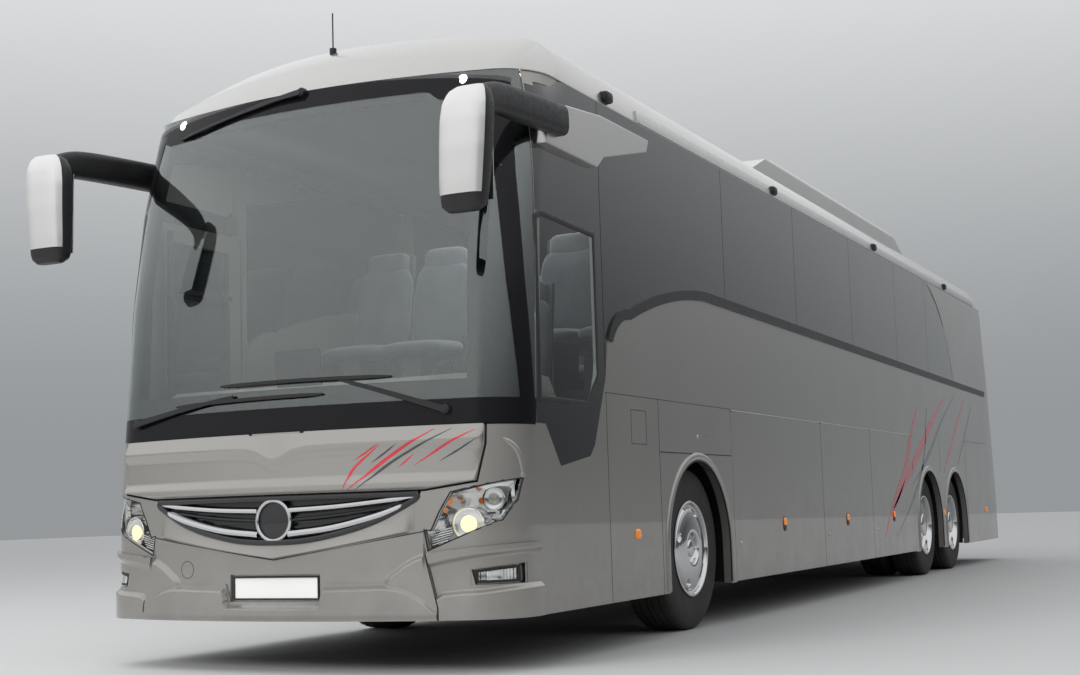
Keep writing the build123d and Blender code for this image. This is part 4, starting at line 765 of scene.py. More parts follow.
# The driver's window: its frame's path, the distances that it takes up, and the edges of the panes round it
WINDOW = [(0.55, 1.352), (1.13, 1.352), (1.287, 1.512), (1.287, 2.31), (0.62, 2.33), (0.55, 2.30)]
WINDOW_SPAN = (0.53, 1.307)
WINDOW_LOW, WINDOW_HIGH = [(0.5, 1.332), (1.139, 1.332), (1.307, 1.504)], [(0.5, 2.34), (1.31, 2.33)]
POSTS = [1.39, 3.5, 5.2, 6.9, 8.6, 10.0]
JOINT = 0.003
# The front edge of the band: its distance at the glass's foot, and how far it leans back for each metre up
GLASS_FOOT, SCREEN_SEAM = 1.226, (0.493, 0.0515)


def pane(distances, low, high, thick=GLASS, rows=14):
    """A pane of the left side, as a closed slab between two edges that give a height for every distance."""
    z = between(low, high, rows) + 0 * distances
    d = np.maximum(distances, SCREEN_SEAM[0] + SCREEN_SEAM[1] * (z - GLASS_FOOT))
    spots = flank(np.stack([d.ravel(), z.ravel()], -1)).reshape(*z.shape, 2)
    return layer(spots[..., 0], spots[..., 1], 0, -thick)


def edge_height(points, distances):
    """The height of an edge through points at some distances."""
    points = np.asarray(points, float)
    return np.interp(distances, points[:, 0], points[:, 1])


gloss_look = {"grain": (1.6, 2.0, 0.03, 0.02), "IOR": 1.5, "Coat_Weight": 1.0, "Coat_Roughness": 0.02}
gloss_glass = material("privacy glass", (0.012, 0.0135, 0.015), 0.03, **gloss_look)

lower = np.concatenate([SPIKE, through(SWOOSH[:5], 40), SWOOSH[5:]])
before = np.linspace(SCREEN_SEAM[0], WINDOW_SPAN[0], 6)
beside = np.linspace(*WINDOW_SPAN, 40)
after = np.linspace(WINDOW_SPAN[1], POSTS[0] - JOINT, 6)
window_low, window_high = edge_height(WINDOW_LOW, beside), edge_height(WINDOW_HIGH, beside)
side_panes = [
    pane(before, edge_height(lower, before), RAIL),
    pane(beside, edge_height(lower, beside), window_low),
    pane(beside, window_high, RAIL),
    pane(after, edge_height(lower, after), RAIL),
]
for start, stop in zip(POSTS, POSTS[1:]):
    distances = np.linspace(start + JOINT, stop - JOINT, 30)
    side_panes.append(pane(distances, edge_height(lower, distances), RAIL))
distances = np.linspace(POSTS[-1] + JOINT, GLASS_TAIL[0][0], 30)
tail_edge = np.minimum(edge_height(GLASS_TAIL[::-1], distances), RAIL)
side_panes.append(pane(distances, edge_height(lower, distances), tail_edge))
left_glass = piece("left_side_glass", side_panes, gloss_glass, "tinted_glass", crease=20)
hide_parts("side_glass_left")

clear_glass = material("clear glass", (0.86, 0.93, 0.91), 0.0, Transmission_Weight=1.0, IOR=1.5)
window_pane = pane(beside[1:-1], window_low[1:-1], window_high[1:-1], thick=0.005)
piece("driver_window", [window_pane], clear_glass, "clear_glass", crease=20)
window_frame = strip(flank(WINDOW), ridge(0.036, 0.004), closed=True)
piece("driver_window_frame", [window_frame], black_plastic, "black_plastic")
dress(["side_glass_right", "rear_window", "door_glass_front", "door_glass_mid"], gloss_glass)

# Window mouldings: dark grey plastic strips, clipped on, that sweep up from the glass's spike by the driver
# and run rearwards under the side glass.
moulding_grey = material("moulding grey", (0.012, 0.0125, 0.013), 0.32, rough=(30, 4.0, 0.26, 0.4))
dress(["side_mouldings"], moulding_grey)

# Roof shell, air conditioning unit and rails: glass fibre in a lighter silver, bonded on, and an
# aluminium gutter rail along each edge that carries small black lamps.
ROOF_LIGHT, ROOF_DARK = (0.56, 0.55, 0.53), (0.47, 0.462, 0.445)

roof_paint = metallic_paint("roof silver", ROOF_LIGHT, ROOF_DARK, 0.0)
dress(["roof", "ac_unit"], roof_paint)
rail_silver = material("anodised rail", (0.62, 0.62, 0.61), 0.3, 1.0, rough=(18, 4.0, 0.24, 0.38))
dress(["roof_rails"], rail_silver)

# Windscreen: one bowed sheet of green tinted laminated glass, bonded over a black printed band.
# The band is broad below, dips round two marker lights at the top and hides the frame behind it.
screen_glass = material("windscreen glass", (0.82, 0.93, 0.90), 0.0, Transmission_Weight=1.0, IOR=1.95)
dress(["windscreen"], screen_glass)

band_look = {"grain": (60, 3.0, 0.02, 0.001), "Specular_IOR_Level": 0.25}
black_band = material("black band", (0.006, 0.006, 0.007), 0.1, **band_look)
dress(["windscreen_frame"], black_band)


def rise_over(value, width):
    """0 well below zero and 1 well above, smooth between: the cubic 3t^2 - 2t^3 over the width."""
    t = np.clip(value / width + 0.5, 0, 1)
    return t * t * (3 - 2 * t)


def below(value, edge, slope):
    """1 well below an edge and 0 well above it, smooth over the slope."""
    return rise_over(edge - value, slope)


def above(value, edge, slope):
    """0 well below an edge and 1 well above it, smooth over the slope."""
    return rise_over(value - edge, slope)


# The band's reach: heights of its foot and top, the runs u of the windscreen's sides there, its width at the
# sides and the two lifts that it lies between
BAND_FOOT, BAND_TOP = (1.2265, 1.352), (3.005, 3.1035)
SCREEN_SIDE = flank([(0.487, 1.229), (0.58, 3.102)])[:, 0]
BAND_SIDE, BAND_LIFT, BAND_BACK = 0.115, 0.0014, 0.0004
# The dips round the marker lights: depth, middle, half length, and length of the slopes
LIGHT_DIP = (0.055, 0.93, 0.15, 0.1)


def skin_sheet(start, stop, low, high, columns=60, rows=24):
    """A sheet on the windscreen between two edges: start and stop are runs u for every height share, low and
    high are heights for every column share."""
    across = np.linspace(0, 1, columns)[None, :]
    z = between(low, high, rows) + 0 * across
    u = start + across * (stop - start) + 0 * z
    return layer(u, z, BAND_LIFT, BAND_BACK)


edge_up = np.linspace(SCREEN_SIDE[0], SCREEN_SIDE[1], 24)[:, None]
across = np.linspace(-1, 1, 120)[None, :] * SCREEN_SIDE[1]
deep, middle, half_long, slope = LIGHT_DIP
light_dip = deep * rise_over(half_long - np.abs(np.abs(across) - middle), slope)
side_band = skin_sheet(edge_up - BAND_SIDE, edge_up, BAND_FOOT[0], BAND_TOP[1])
bands = [
    skin_sheet(-SCREEN_SIDE[0], SCREEN_SIDE[0], *BAND_FOOT, columns=120),
    skin_sheet(-SCREEN_SIDE[1], SCREEN_SIDE[1], BAND_TOP[0] - light_dip, BAND_TOP[1], columns=120),
    *both_sides([side_band]),
]
piece("windscreen_band", bands, black_band, "black_plastic")

# Tablet on the dashboard: a dark plastic slab that leans behind the glass, clamped to the dashboard's top
# near the middle.
TABLET = [(-0.135, 1.475), (0.14, 1.475), (0.145, 1.49), (0.145, 1.655)]
TABLET += [(0.135, 1.667), (-0.13, 1.667), (-0.14, 1.655), (-0.14, 1.49)]
TABLET_PLACE, TABLET_LEAN, TABLET_THICK = 0.24, 0.10, 0.018
tablet = np.array([(x, NOSE + TABLET_PLACE - TABLET_LEAN * (z - TABLET[0][1]), z) for x, z in TABLET])
tablet = skinned(np.stack([tablet, tablet + (0, TABLET_THICK, 0)]))
piece("dash_tablet", [tablet], seam_and_shadow_black, "cab_plastic")

# Front mask, flap and bumper: moulded panels with creases, on the flap a bright bevel under the glass
# and a brow over the grille, on the bumper a ledge, two wings and lips under the fog lamps.
FLAP_CREST = [(0, 1.085), (0.028, 1.087), (0.12, 1.133), (0.19, 1.145), (0.3, 1.149), (1.13, 1.152)]
FLAP_FOOT = [(0, 0.9085), (0.838, 0.9085), (1.091, 0.945), (1.1235, 1.12)]
# Heights of the flap's upper edge and of the bumper's foot, and lifts of the front panels' backs and faces
FLAP_HEAD, BUMPER_FOOT, BACK, FACE = 1.2215, 0.264, 0.0005, 0.003
# The flap's relief: how far the crest and the brow stand out and the hollow falls back, how far the hollow
# starts under the crest, and its slope. Then the brow's two edges and the flap's ends, each with its slope
CREST_OUT, BROW_OUT, HOLLOW_BACK, HOLLOW_UNDER, HOLLOW_SLOPE = 0.024, 0.017, 0.019, 0.03, 0.07
BROW_HEAD, BROW_FOOT, FLAP_ENDS = (0.965, 0.05), (0.912, 0.02), (1.118, 0.02)


def off_middle(u, z):
    """How far a place on the nose is from the coach's middle, seen from the front."""
    return np.abs(skin(u, z)[..., 0])


def flap_lift(u, z):
    """The flap's relief: from a crest with a shallow notch in its middle the face slopes back up to the
    glass and down to a hollow, and swells again to the brow over the grille."""
    x = off_middle(u, z)
    crest = edge_height(FLAP_CREST, x)
    bevel = CREST_OUT * np.clip((FLAP_HEAD - z) / (FLAP_HEAD - crest), 0, 1)
    hollow = CREST_OUT - HOLLOW_BACK * below(z, crest - HOLLOW_UNDER, HOLLOW_SLOPE)
    brow = BROW_OUT * below(z, *BROW_HEAD) * above(z, *BROW_FOOT)
    return FACE + (np.where(z > crest, bevel, hollow) + brow) * below(x, *FLAP_ENDS)


def line(*points):
    """A height for each distance from the middle, by straight runs between points."""
    return lambda x: edge_height(points, x)


def level(height):
    """The same height at each distance from the middle."""
    return lambda x: height + 0 * x


def front_panel(start, stop, low, high, lift, columns=90, rows=70):
    """A sheet of the front between two edges, which give a height for each distance from the middle."""
    x = np.linspace(start, stop, columns)
    u = facing(np.stack([x, 0 * x], -1))[:, 0]
    z = between(low(np.abs(x)), high(np.abs(x)), rows)
    return layer(u, z, lift(u, z), BACK)


flap_panel = front_panel(-1.1235, 1.1235, line(*FLAP_FOOT), level(FLAP_HEAD), flap_lift, 260, 90)
piece("flap_panel", [flap_panel], shell_paint, "body_paint", body="front_flap", crease=40)

GRILLE_LOW = [(0, 0.645), (0.22, 0.656), (0.45, 0.699), (0.62, 0.753), (0.77, 0.828), (0.80, 0.86)]
V_LINE = [(0, 0.572), (0.838, 0.698)]
LIP_FOOT, LIP_HEAD = line((0, 0.576), (0.838, 0.702)), line(*((x, z - 0.004) for x, z in GRILLE_LOW))
# The lip's relief: its least lift, how far the crest stands out, the share of its height where the crest
# starts, with the slope there, the power of its fall above, and its ends with their slope
LIP_LEAST, LIP_OUT, LIP_START, LIP_FALL, LIP_ENDS = 0.0008, 0.021, (0.07, 0.14), 1.3, (0.765, 0.05)


def lip_lift(u, z):
    """The painted lip under the grille: a rounded crest over the joint, falling back to the grille."""
    x = off_middle(u, z)
    foot, head = edge_height(V_LINE, x), edge_height(GRILLE_LOW, x)
    share = np.clip((z - foot) / (head - foot), 0, 1)
    return LIP_LEAST + LIP_OUT * above(share, *LIP_START) * (1 - share) ** LIP_FALL * below(x, *LIP_ENDS)


lip = front_panel(-0.79, 0.79, LIP_FOOT, LIP_HEAD, lip_lift, 160, 40)
piece("grille_lip", [lip], shell_paint, "body_paint", crease=40)

# Lines of the bumper's relief, as front-view places: the ledge's edge, the wing's edge and the side seam
LEDGE = [(0, 0.352), (0.288, 0.352), (0.306, 0.44), (0.634, 0.446)]
LEDGE += [(0.70, 0.439), (0.761, 0.421), (0.83, 0.378), (0.90, 0.318)]
WING = [(0.60, 0.43), (0.64, 0.478), (0.69, 0.512), (0.74, 0.548), (0.80, 0.577), (0.86, 0.592)]
SIDE_SEAM = [(0, 0.568), (0.834, 0.693), (0.843, 0.585), (0.903, 0.326)]
# The gap for the number plate: half width, foot and head
PLATE_GAP = (0.278, 0.36, 0.50)
# The bumper's relief. Columns: how far it stands out, how far under its line its slope lies, and the slope
LEDGE_OUT, LEDGE_UNDER, LEDGE_SLOPE = 0.042, 0.014, 0.034
WING_OUT, WING_UNDER, WING_SLOPE = 0.024, 0.012, 0.032
# The wing's inner end with its slope. The foot falls back under an edge wherever the ledge stands out
WING_END, FOOT_BACK, FOOT_EDGE, FOOT_LEDGE = (0.645, 0.05), 0.010, (0.282, 0.03), 0.02


def bumper_lift(u, z):
    """The bumper's relief: a ledge stands out below a line that dips round the plate, and a wing
    on each side sweeps down from the lamp to meet it."""
    x = off_middle(u, z)
    ledge = LEDGE_OUT * below(z, edge_height(LEDGE, x) - LEDGE_UNDER, LEDGE_SLOPE)
    wing = WING_OUT * below(z, edge_height(WING, x) - WING_UNDER, WING_SLOPE) * above(x, *WING_END)
    foot = FOOT_BACK * below(z, *FOOT_EDGE)
    return FACE + np.maximum(ledge, wing) - foot * (ledge > FOOT_LEDGE)


seam_top = line(*SIDE_SEAM)
plate_half, plate_low, plate_high = PLATE_GAP
middle_panels = [
    front_panel(-plate_half, plate_half, level(BUMPER_FOOT), level(plate_low), bumper_lift, 60, 30),
    front_panel(-plate_half, plate_half, level(plate_high), seam_top, bumper_lift, 60, 30),
]
outer_panel = front_panel(plate_half, SIDE_SEAM[-1][0], level(BUMPER_FOOT), seam_top, bumper_lift, 100, 76)

# Lines of the corner's relief: the shelf's edge, the brow's edge and the corner's head
SHELF = [(0.86, 0.36), (0.93, 0.398), (1.0, 0.405), (1.12, 0.41), (1.275, 0.43)]
BROW = [(0.86, 0.53), (0.96, 0.55), (1.1, 0.572), (1.275, 0.592)]
CORNER_TOP = line((0.86, 0.594), (1.0, 0.606), (1.275, 0.630))
# The corner's relief: how far the shelf and the brow stand out, how far the shelf's slope lies under its
# line, the slope of both, and the run u where they fade into the side, with the slope there
SHELF_OUT, CORNER_OUT, SHELF_UNDER, CORNER_SLOPE, CORNER_FADE = 0.025, 0.020, 0.010, 0.03, (1.62, 0.35)
# The opening for the fog lamp: its two sides, its foot and its slanting head
FOG_SIDES, FOG_FOOT, FOG_HEAD = (1.064, 1.266), level(0.4305), line((1.064, 0.5085), (1.266, 0.534))
# The corner's slanting inner edge: heights of its two ends and front-view places there
SLANT, SLANT_X, SLANT_STOP = (0.33, 0.594), (0.909, 0.850), 0.911


def corner_lift(u, z):
    """A corner of the bumper: a shelf below the fog lamp and a brow above it, with the lamp in the scoop
    between them, fading into the flat side."""
    x = off_middle(u, z)
    shelf = SHELF_OUT * below(z, edge_height(SHELF, x) - SHELF_UNDER, CORNER_SLOPE)
    brow = CORNER_OUT * above(z, edge_height(BROW, x), CORNER_SLOPE)
    return FACE + (shelf + brow) * (1 - above(np.abs(u), *CORNER_FADE))


def corner_block(start, stop, low, high, columns, rows):
    """A part of the bumper's corner between two runs u, with low and high edges by front-view places."""
    across = np.linspace(0, 1, columns)[None, :]
    u = start + across * (stop - start) + np.zeros((rows, 1))
    x = off_middle(u, 0.5 + 0 * u)
    z = between(low(x), high(x), rows)
    return layer(u, z, corner_lift(u, z), BACK)


def run_at(x):
    """The run u of a front-view place."""
    return facing([(x, 0.5)])[0, 0]


foot = level(BUMPER_FOOT)
inner_run, stop_run = (run_at(x) for x in FOG_SIDES)
corner_start, corner_end = run_at(SLANT_STOP), flank([(0.4875, 0.5)])[0, 0]
slant_start = np.array([[run_at(x)] for x in np.linspace(*SLANT_X, 50)])
corner_parts = [
    outer_panel,
    corner_block(corner_start, inner_run, foot, CORNER_TOP, 36, 80),
    corner_block(inner_run, stop_run, foot, FOG_FOOT, 50, 44),
    corner_block(inner_run, stop_run, FOG_HEAD, CORNER_TOP, 50, 30),
    corner_block(stop_run, corner_end, foot, CORNER_TOP, 36, 80),
    corner_block(slant_start, corner_start, level(SLANT[0]), level(SLANT[1]), 20, 50),
]
piece("bumper_panels", middle_panels + both_sides(corner_parts), shell_paint, "body_paint", crease=40)

FOLD = [(1.20, 1.15), (1.245, 1.09), (1.262, 0.98), (1.255, 0.955)]
FOLD_TAPER = ((0, 0.12, 0.88, 1), (0.15, 1, 1, 0.15))
fold = strip(facing(through(FOLD, 60)), ridge(0.03, 0.007), taper=FOLD_TAPER)
piece("mask_folds", both_sides([fold]), shell_paint, "body_paint")

V_SEAM = [(0.0, 0.572), (0.42, 0.63), (0.838, 0.698)]
TOW_CAP, TOW_RADIUS = (-0.582, 0.526), 0.045
tow = arc(TOW_CAP, TOW_RADIUS, 0, 360, 33)[:-1]
front_seams = both_sides([strip(facing(subdivided(V_SEAM)), flat(0.005, 0.001))])
front_seams.append(strip(facing(tow), flat(0.003, 0.0006) + (0, 0.003), closed=True))
piece("front_seams", front_seams, seam_and_shadow_black, "black_plastic")

# Grille: two chromed bars to each side of a round centre, in a black plastic frame over dark louvres that
# is clipped into the mask.
# The opening's edge from its outer corner to the middle, its head, and its widest place
GRILLE_EDGE = [(0.80, 0.886), (0.805, 0.868), (0.77, 0.842), (0.62, 0.768), (0.45, 0.714), (0.22, 0.671)]
GRILLE_EDGE += [(0.0, 0.660)]
GRILLE_TOP, GRILLE_HEAD, GRILLE_HALF = [(-0.80, 0.884), (0.80, 0.884)], 0.886, 0.802
# The louvres' heights below the opening's head, and how far their ends stay from its edge
LOUVRES, LOUVRE_END, LOUVRE_LEAST = np.arange(0.018, 0.22, 0.026), 0.012, 0.12


def both_ways(path):
    """A path from one side to the middle, carried on to the other side as its mirror image."""
    return np.concatenate([path, [(-x, z) for x, z in reversed(path[:-1])]])


def front_sheet(x, low, high, lift, back, rows=2):
    """A sheet on the front between two edges, each a height for every x, between two lifts."""
    z = between(low, high, rows) + 0 * x
    spots = facing(np.stack([np.broadcast_to(x, z.shape).ravel(), z.ravel()], -1)).reshape(*z.shape, 2)
    return layer(spots[..., 0], spots[..., 1], lift, back)


grille_dark = material("grille black", (0.010, 0.010, 0.011), 0.3, Coat_Weight=0.5)
x = np.linspace(-GRILLE_HALF, GRILLE_HALF, 90)
low_edge = edge_height(both_ways(GRILLE_EDGE[1:])[::-1], x)
grille_parts = [front_sheet(x, low_edge, GRILLE_HEAD, -0.034, -0.04)]
for z in GRILLE_TOP[0][1] - LOUVRES:
    reach = np.interp(-z, -low_edge[45:], x[45:]) - LOUVRE_END
    if reach > LOUVRE_LEAST - LOUVRE_END:
        path = facing(subdivided([(-reach, z), (reach, z)]))
        grille_parts.append(strip(path, flat(0.008, 0.014) + (0, -0.036)))
frame_path = np.concatenate([through(both_ways(GRILLE_EDGE), 120), subdivided(GRILLE_TOP)[1:-1]])
grille_parts.append(strip(facing(frame_path), ridge(0.03, 0.012, sunk=0.036), closed=True))
grille = piece("grille_frame", grille_parts, grille_dark, "black_plastic")
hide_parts("grille")

# The two chromed bars and the thin dark one between them, each with its section and taper
UPPER_BAR = [(0.10, 0.822), (0.4, 0.835), (0.79, 0.868)]
LOWER_BAR = [(0.095, 0.702), (0.35, 0.728), (0.6, 0.782), (0.785, 0.842)]
THIN_BAR = [(0.10, 0.772), (0.4, 0.792), (0.76, 0.836)]
BAR_TAPER, THIN_TAPER = ((0, 0.85, 1), (1, 0.9, 0.25)), ((0, 0.8, 1), (1, 0.9, 0.2))
bars = [
    strip(facing(through(path, 40)), ridge(width, height) + (0, -0.018), taper=BAR_TAPER)
    for path, width, height in ((UPPER_BAR, 0.040, 0.030), (LOWER_BAR, 0.052, 0.034))
]
piece("grille_bars", both_sides(bars), chrome, "grille_chrome")
blade = strip(facing(through(THIN_BAR, 40)), ridge(0.022, 0.02) + (0, -0.024), taper=THIN_TAPER)
piece("grille_blades", both_sides([blade]), moulding_grey, "black_plastic")
# The plain disc: its place, and its face as radius and distance forwards
DISC, FORWARDS = (0.0, NOSE + 0.006, 0.772), (0, -1, 0)
DISC_FACE = [(0.0, 0.006), (0.03, 0.0055), (0.09, -0.002), (0.104, -0.004), (0.104, -0.03), (0.0, -0.03)]
disc_ring = turned(ring_profile(0.102, 0.010, 0.004, 16), DISC, FORWARDS, 72, closed=True)
piece("grille_ring", [disc_ring], chrome, "grille_chrome")
piece("grille_disc", [turned(DISC_FACE, DISC, FORWARDS, 72)], grille_dark, "black_plastic")

# Headlamps: a chromed bowl behind a clear polycarbonate lens, with a projector, a round driving lamp,
# two amber bulbs and a fluted foot. The fog lamps share the same make, in the bumper's corners.
# The lamp's outline and its bright outer edge, as front-view places
LAMP = [(0.838, 0.705), (0.872, 0.700), (0.915, 0.790), (0.972, 0.887)]
LAMP += [(1.262, 0.950), (1.250, 0.839), (1.201, 0.743), (0.856, 0.602)]
LAMP_EDGE = [(1.2592, 0.943), (1.2472, 0.839), (1.199, 0.748)]
# Barrels and amber bulbs: front-view place and radius. They stand this deep behind the nose's skin
BARRELS = [(1.052, 0.728, 0.084), (1.178, 0.848, 0.056)]
BULBS = [(0.957, 0.845, 0.022), (0.935, 0.80, 0.015)]
LAMP_DEPTH = 0.040
# Profiles of a barrel's bezel and of the glass in it: shares of the radius, and distances forwards
BEZEL = [(1, -0.004), (1, 0.010), (0.97, 0.013), (0.90, 0.012)]
BEZEL += [(0.86, 0.006), (0.7, 0.0025), (0.5, 0.0015), (0.5, -0.004)]
DOME = [(0.0, 0.015), (0.25, 0.0135), (0.42, 0.009), (0.5, 0.002), (0.5, -0.003), (0.0, -0.003)]
BULB = [(0.0, 0.014), (0.6, 0.011), (1, 0.002), (1, -0.004), (0.0, -0.004)]
# The fluted foot: how many flutes, where the ends of the lowest lie and by how much each next one is shifted
FLUTES, FLUTE_X, FLUTE_SHIFT = 6, (0.868, 0.95), (0.003, 0.008)
FLUTE_LOW, FLUTE_PITCH, FLUTE_RISE = 0.628, 0.013, 0.022

lamp_chrome = material("lamp reflector", (0.82, 0.82, 0.81), 0.09, 1.0, grain=(22, 1.0, 0.25, 0.004))
dress(["headlamps"], lamp_chrome)
lens_clear = material("lamp lens", (0.97, 0.98, 0.98), 0.0, Transmission_Weight=1.0, IOR=1.35)
dress(["headlamp_lenses"], lens_clear)
warm_look = {"Emission_Strength": 1.0, "Emission_Color": (1.0, 0.88, 0.56, 1)}
bulb_warm = material("lit projector", (0.9, 0.7, 0.35), 0.2, **warm_look)
white_look = {"Emission_Strength": 3.0, "Emission_Color": (1.0, 0.93, 0.78, 1)}
bulb_white = material("lit marker", (1.0, 0.97, 0.9), 0.2, **white_look)
ring_glass = material("projector glass", (0.95, 0.93, 0.85), 0.02, Transmission_Weight=0.7, IOR=1.45)


def in_lamp(profile, x, z, radius, steps, closed=False):
    """A profile turned at a place behind the skin of the nose, about the way the skin faces there."""
    u = facing([(x, z)])[0, 0]
    inner, outer = skin(u, z, -LAMP_DEPTH), skin(u, z, 0.1)
    scaled = [(radius * share, along) for share, along in profile]
    return turned(scaled, inner, outer - inner, steps, closed)


bezels = [in_lamp(BEZEL, *place, 48, closed=True) for place in BARRELS]
projector, driving_lamp = (in_lamp(DOME, *place, 36) for place in BARRELS)
for row in range(FLUTES):
    inner, outer = (x + row * shift for x, shift in zip(FLUTE_X, FLUTE_SHIFT))
    z = FLUTE_LOW + row * FLUTE_PITCH
    path = facing([(inner, z), (outer, z + FLUTE_RISE)])
    bezels.append(strip(path, ridge(0.009, 0.008) + (0, -0.036)))
blinkers = [in_lamp(BULB, *place, 24) for place in BULBS]
piece("lamp_bezels", both_sides(bezels), lamp_chrome, "lamp_chrome")
piece("lamp_projectors", both_sides([projector]), bulb_warm, "lamp_chrome")
piece("driving_lamps", both_sides([driving_lamp]), ring_glass, "clear_glass")
piece("lamp_blinkers", both_sides(blinkers), amber, "lamp_red")
lamp_end = strip(facing(subdivided(LAMP_EDGE, 0.02)), flat(0.017, -0.0015, 0.004))
piece("lamp_ends", both_sides([lamp_end]), lamp_chrome, "lamp_chrome")
lamp_gap = strip(facing(subdivided(LAMP + LAMP[:1])[:-1]), flat(0.007, 0.0008), closed=True)
piece("lamp_gaps", both_sides([lamp_gap]), seam_and_shadow_black, "black_plastic")

FOG = [(1.098, 0.446), (1.082, 0.495), (1.25, 0.514), (1.25, 0.446)]
# The reflector: its start and length, its foot, its height and how much higher it is at the outer end
FOG_DISH, FOG_FLUTES = (1.094, 0.154, 0.447, 0.05, 0.016), 14
fog_share = np.linspace(0, 1, 30)
fog_start, fog_long, fog_low, fog_high, fog_rise = FOG_DISH
fog_lift = -0.011 - 0.004 * np.cos(FOG_FLUTES * np.pi * fog_share) ** 2
fog_top = fog_low + fog_high + fog_rise * fog_share
fog_dish = front_sheet(fog_start + fog_long * fog_share, fog_low, fog_top, fog_lift, -0.02, rows=12)
piece("fog_reflectors", both_sides([fog_dish]), lamp_chrome, "lamp_chrome")
fog_path = facing(subdivided([*FOG, FOG[0]])[:-1])
fog_frame = strip(fog_path, flat(0.012, 0.006) + (0, -0.008), closed=True)
piece("fog_frames", both_sides([fog_frame]), black_plastic, "black_plastic")

# Number plates: blank pressed aluminium, clipped into a thin black plastic holder that is screwed to the
# bumper, front and rear.
PLATE, PLATE_MIDDLE = [(-0.26, -0.056), (0.26, -0.056), (0.26, 0.056), (-0.26, 0.056)], 0.43
# The holder's inner and outer edges as shares of the plate's size, its start behind the plate and its depth
HOLDER_INNER, HOLDER_OUTER, HOLDER_SUNK, HOLDER_DEEP = (0.985, 0.92), (1.012, 1.07), 0.002, 0.006
plate_white = material("blank plate", (0.74, 0.74, 0.72), 0.35, rough=(60, 4.0, 0.28, 0.42))
dress(["number_plates"], plate_white)
holders = []
for y, way in ((NOSE + 0.017, -1), (NOSE + LENGTH - 0.017, 1)):
    inner, outer = (
        np.array([(x * wide, y - way * HOLDER_SUNK, PLATE_MIDDLE + z * high) for x, z in PLATE])
        for wide, high in (HOLDER_INNER, HOLDER_OUTER)
    )
    deep = np.array((0, way * HOLDER_DEEP, 0))
    holders.append(skinned(np.stack([inner, inner + deep, outer + deep, outer], 1), rows_closed=True))
piece("plate_holders", holders, black_plastic, "black_plastic")

# Wipers: black coated steel arms with rubber blades, two from below and one from above.
# Columns: pivot, grip, the blade's two ends
WIPERS = [
    ((-0.02, 3.099), (-0.47, 3.042), (-0.12, 3.085), (-0.90, 2.965)),
    ((0.947, 1.296), (0.358, 1.483), (-0.377, 1.486), (0.652, 1.480)),
    ((-1.02, 1.318), (-0.282, 1.426), (-0.70, 1.396), (0.274, 1.409)),
]
BLADE_TAPER, ARM_TAPER = ((0, 0.1, 0.9, 1), (0.5, 1, 1, 0.5)), ((0, 0.3, 1), (1, 0.8, 0.5))
# Columns: radius, height of the cap over the pivot
WIPER_CAP = [(0.0, 0.034), (0.016, 0.033), (0.024, 0.026), (0.027, 0.0), (0.0, 0.0)]


def arched(start, stop, rise=0.004):
    """A slightly arched path between two front-view places, on the skin."""
    middle = (start[0] + stop[0]) / 2, (start[1] + stop[1]) / 2 + rise
    return facing(through([start, middle, stop], 24))


wiper_parts = []
for pivot, grip, start, stop in WIPERS:
    blade, arm = arched(start, stop), arched(pivot, grip)
    wiper_parts.append(strip(blade, flat(0.007, 0.016, sunk=-0.002)))
    wiper_parts.append(strip(blade, ridge(0.018, 0.01, sunk=-0.012) + (0, 0.012), taper=BLADE_TAPER))
    wiper_parts.append(strip(arm, ridge(0.034, 0.014, sunk=-0.018) + (0, 0.018), taper=ARM_TAPER))
    wiper_parts.append(turned(WIPER_CAP, skin(*facing([pivot])[0]), (0, -1, 0.1), 24))
wipers = piece("wiper_arms", wiper_parts, black_plastic, "black_plastic")
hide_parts("wipers")

# Mirrors: a black moulded arm that reaches forwards from a silver fairing and turns down into the head,
# with a silver cap over the front of a black housing and the glass behind.
ARM_X = 1.335
# Columns: distance, height, half width, half height
ARM = [
    (0.76, 2.843, 0.055, 0.084), (0.45, 2.828, 0.053, 0.083),
    (0.1, 2.806, 0.05, 0.08), (-0.06, 2.782, 0.05, 0.074),
    (-0.15, 2.735, 0.05, 0.066), (-0.2, 2.66, 0.05, 0.056), (-0.215, 2.56, 0.05, 0.05),
]
HEAD_MIDDLE = (1.304, -0.225)
# Columns: height, half width, half depth, shift sideways, shift forwards
HEAD = [
    (2.197, 0.080, 0.030, -0.020, 0.016),
    (2.204, 0.102, 0.046, -0.020, 0.012), (2.24, 0.114, 0.060, -0.018, 0.008),
    (2.33, 0.120, 0.070, -0.014, 0.004),
    (2.5, 0.126, 0.078, -0.004, 0.0), (2.64, 0.128, 0.078, 0.002, -0.004),
    (2.72, 0.122, 0.074, 0.008, -0.008),
    (2.775, 0.104, 0.060, 0.016, -0.012), (2.802, 0.072, 0.038, 0.026, -0.016),
]
# The cap: foot, head, the angles that it covers in degrees, its height off the housing and its thickness
CAP_LOW, CAP_HIGH, CAP_TURN, CAP_LIFT, CAP_THICK = 2.275, 2.80, (200, 333), 0.005, 0.008
# The fairing's outline as distance and height: it stands out most in front and thins out rearwards
FAIRING = [(0.606, 2.697), (0.669, 2.915), (0.871, 2.955), (1.37, 3.012)]
FAIRING += [(2.18, 3.035), (2.139, 2.951), (1.406, 2.772), (1.302, 2.696)]
FAIRING_OUT, FAIRING_END, FAIRING_LONG, FAIRING_BACK = 0.052, 2.2, 1.3, 0.012
GLASS_OUTLINE, GLASS_BEHIND = [(-0.095, 2.26), (0.095, 2.26), (0.1, 2.70), (-0.1, 2.70)], 0.074
HEAD_SQUARE = 0.6


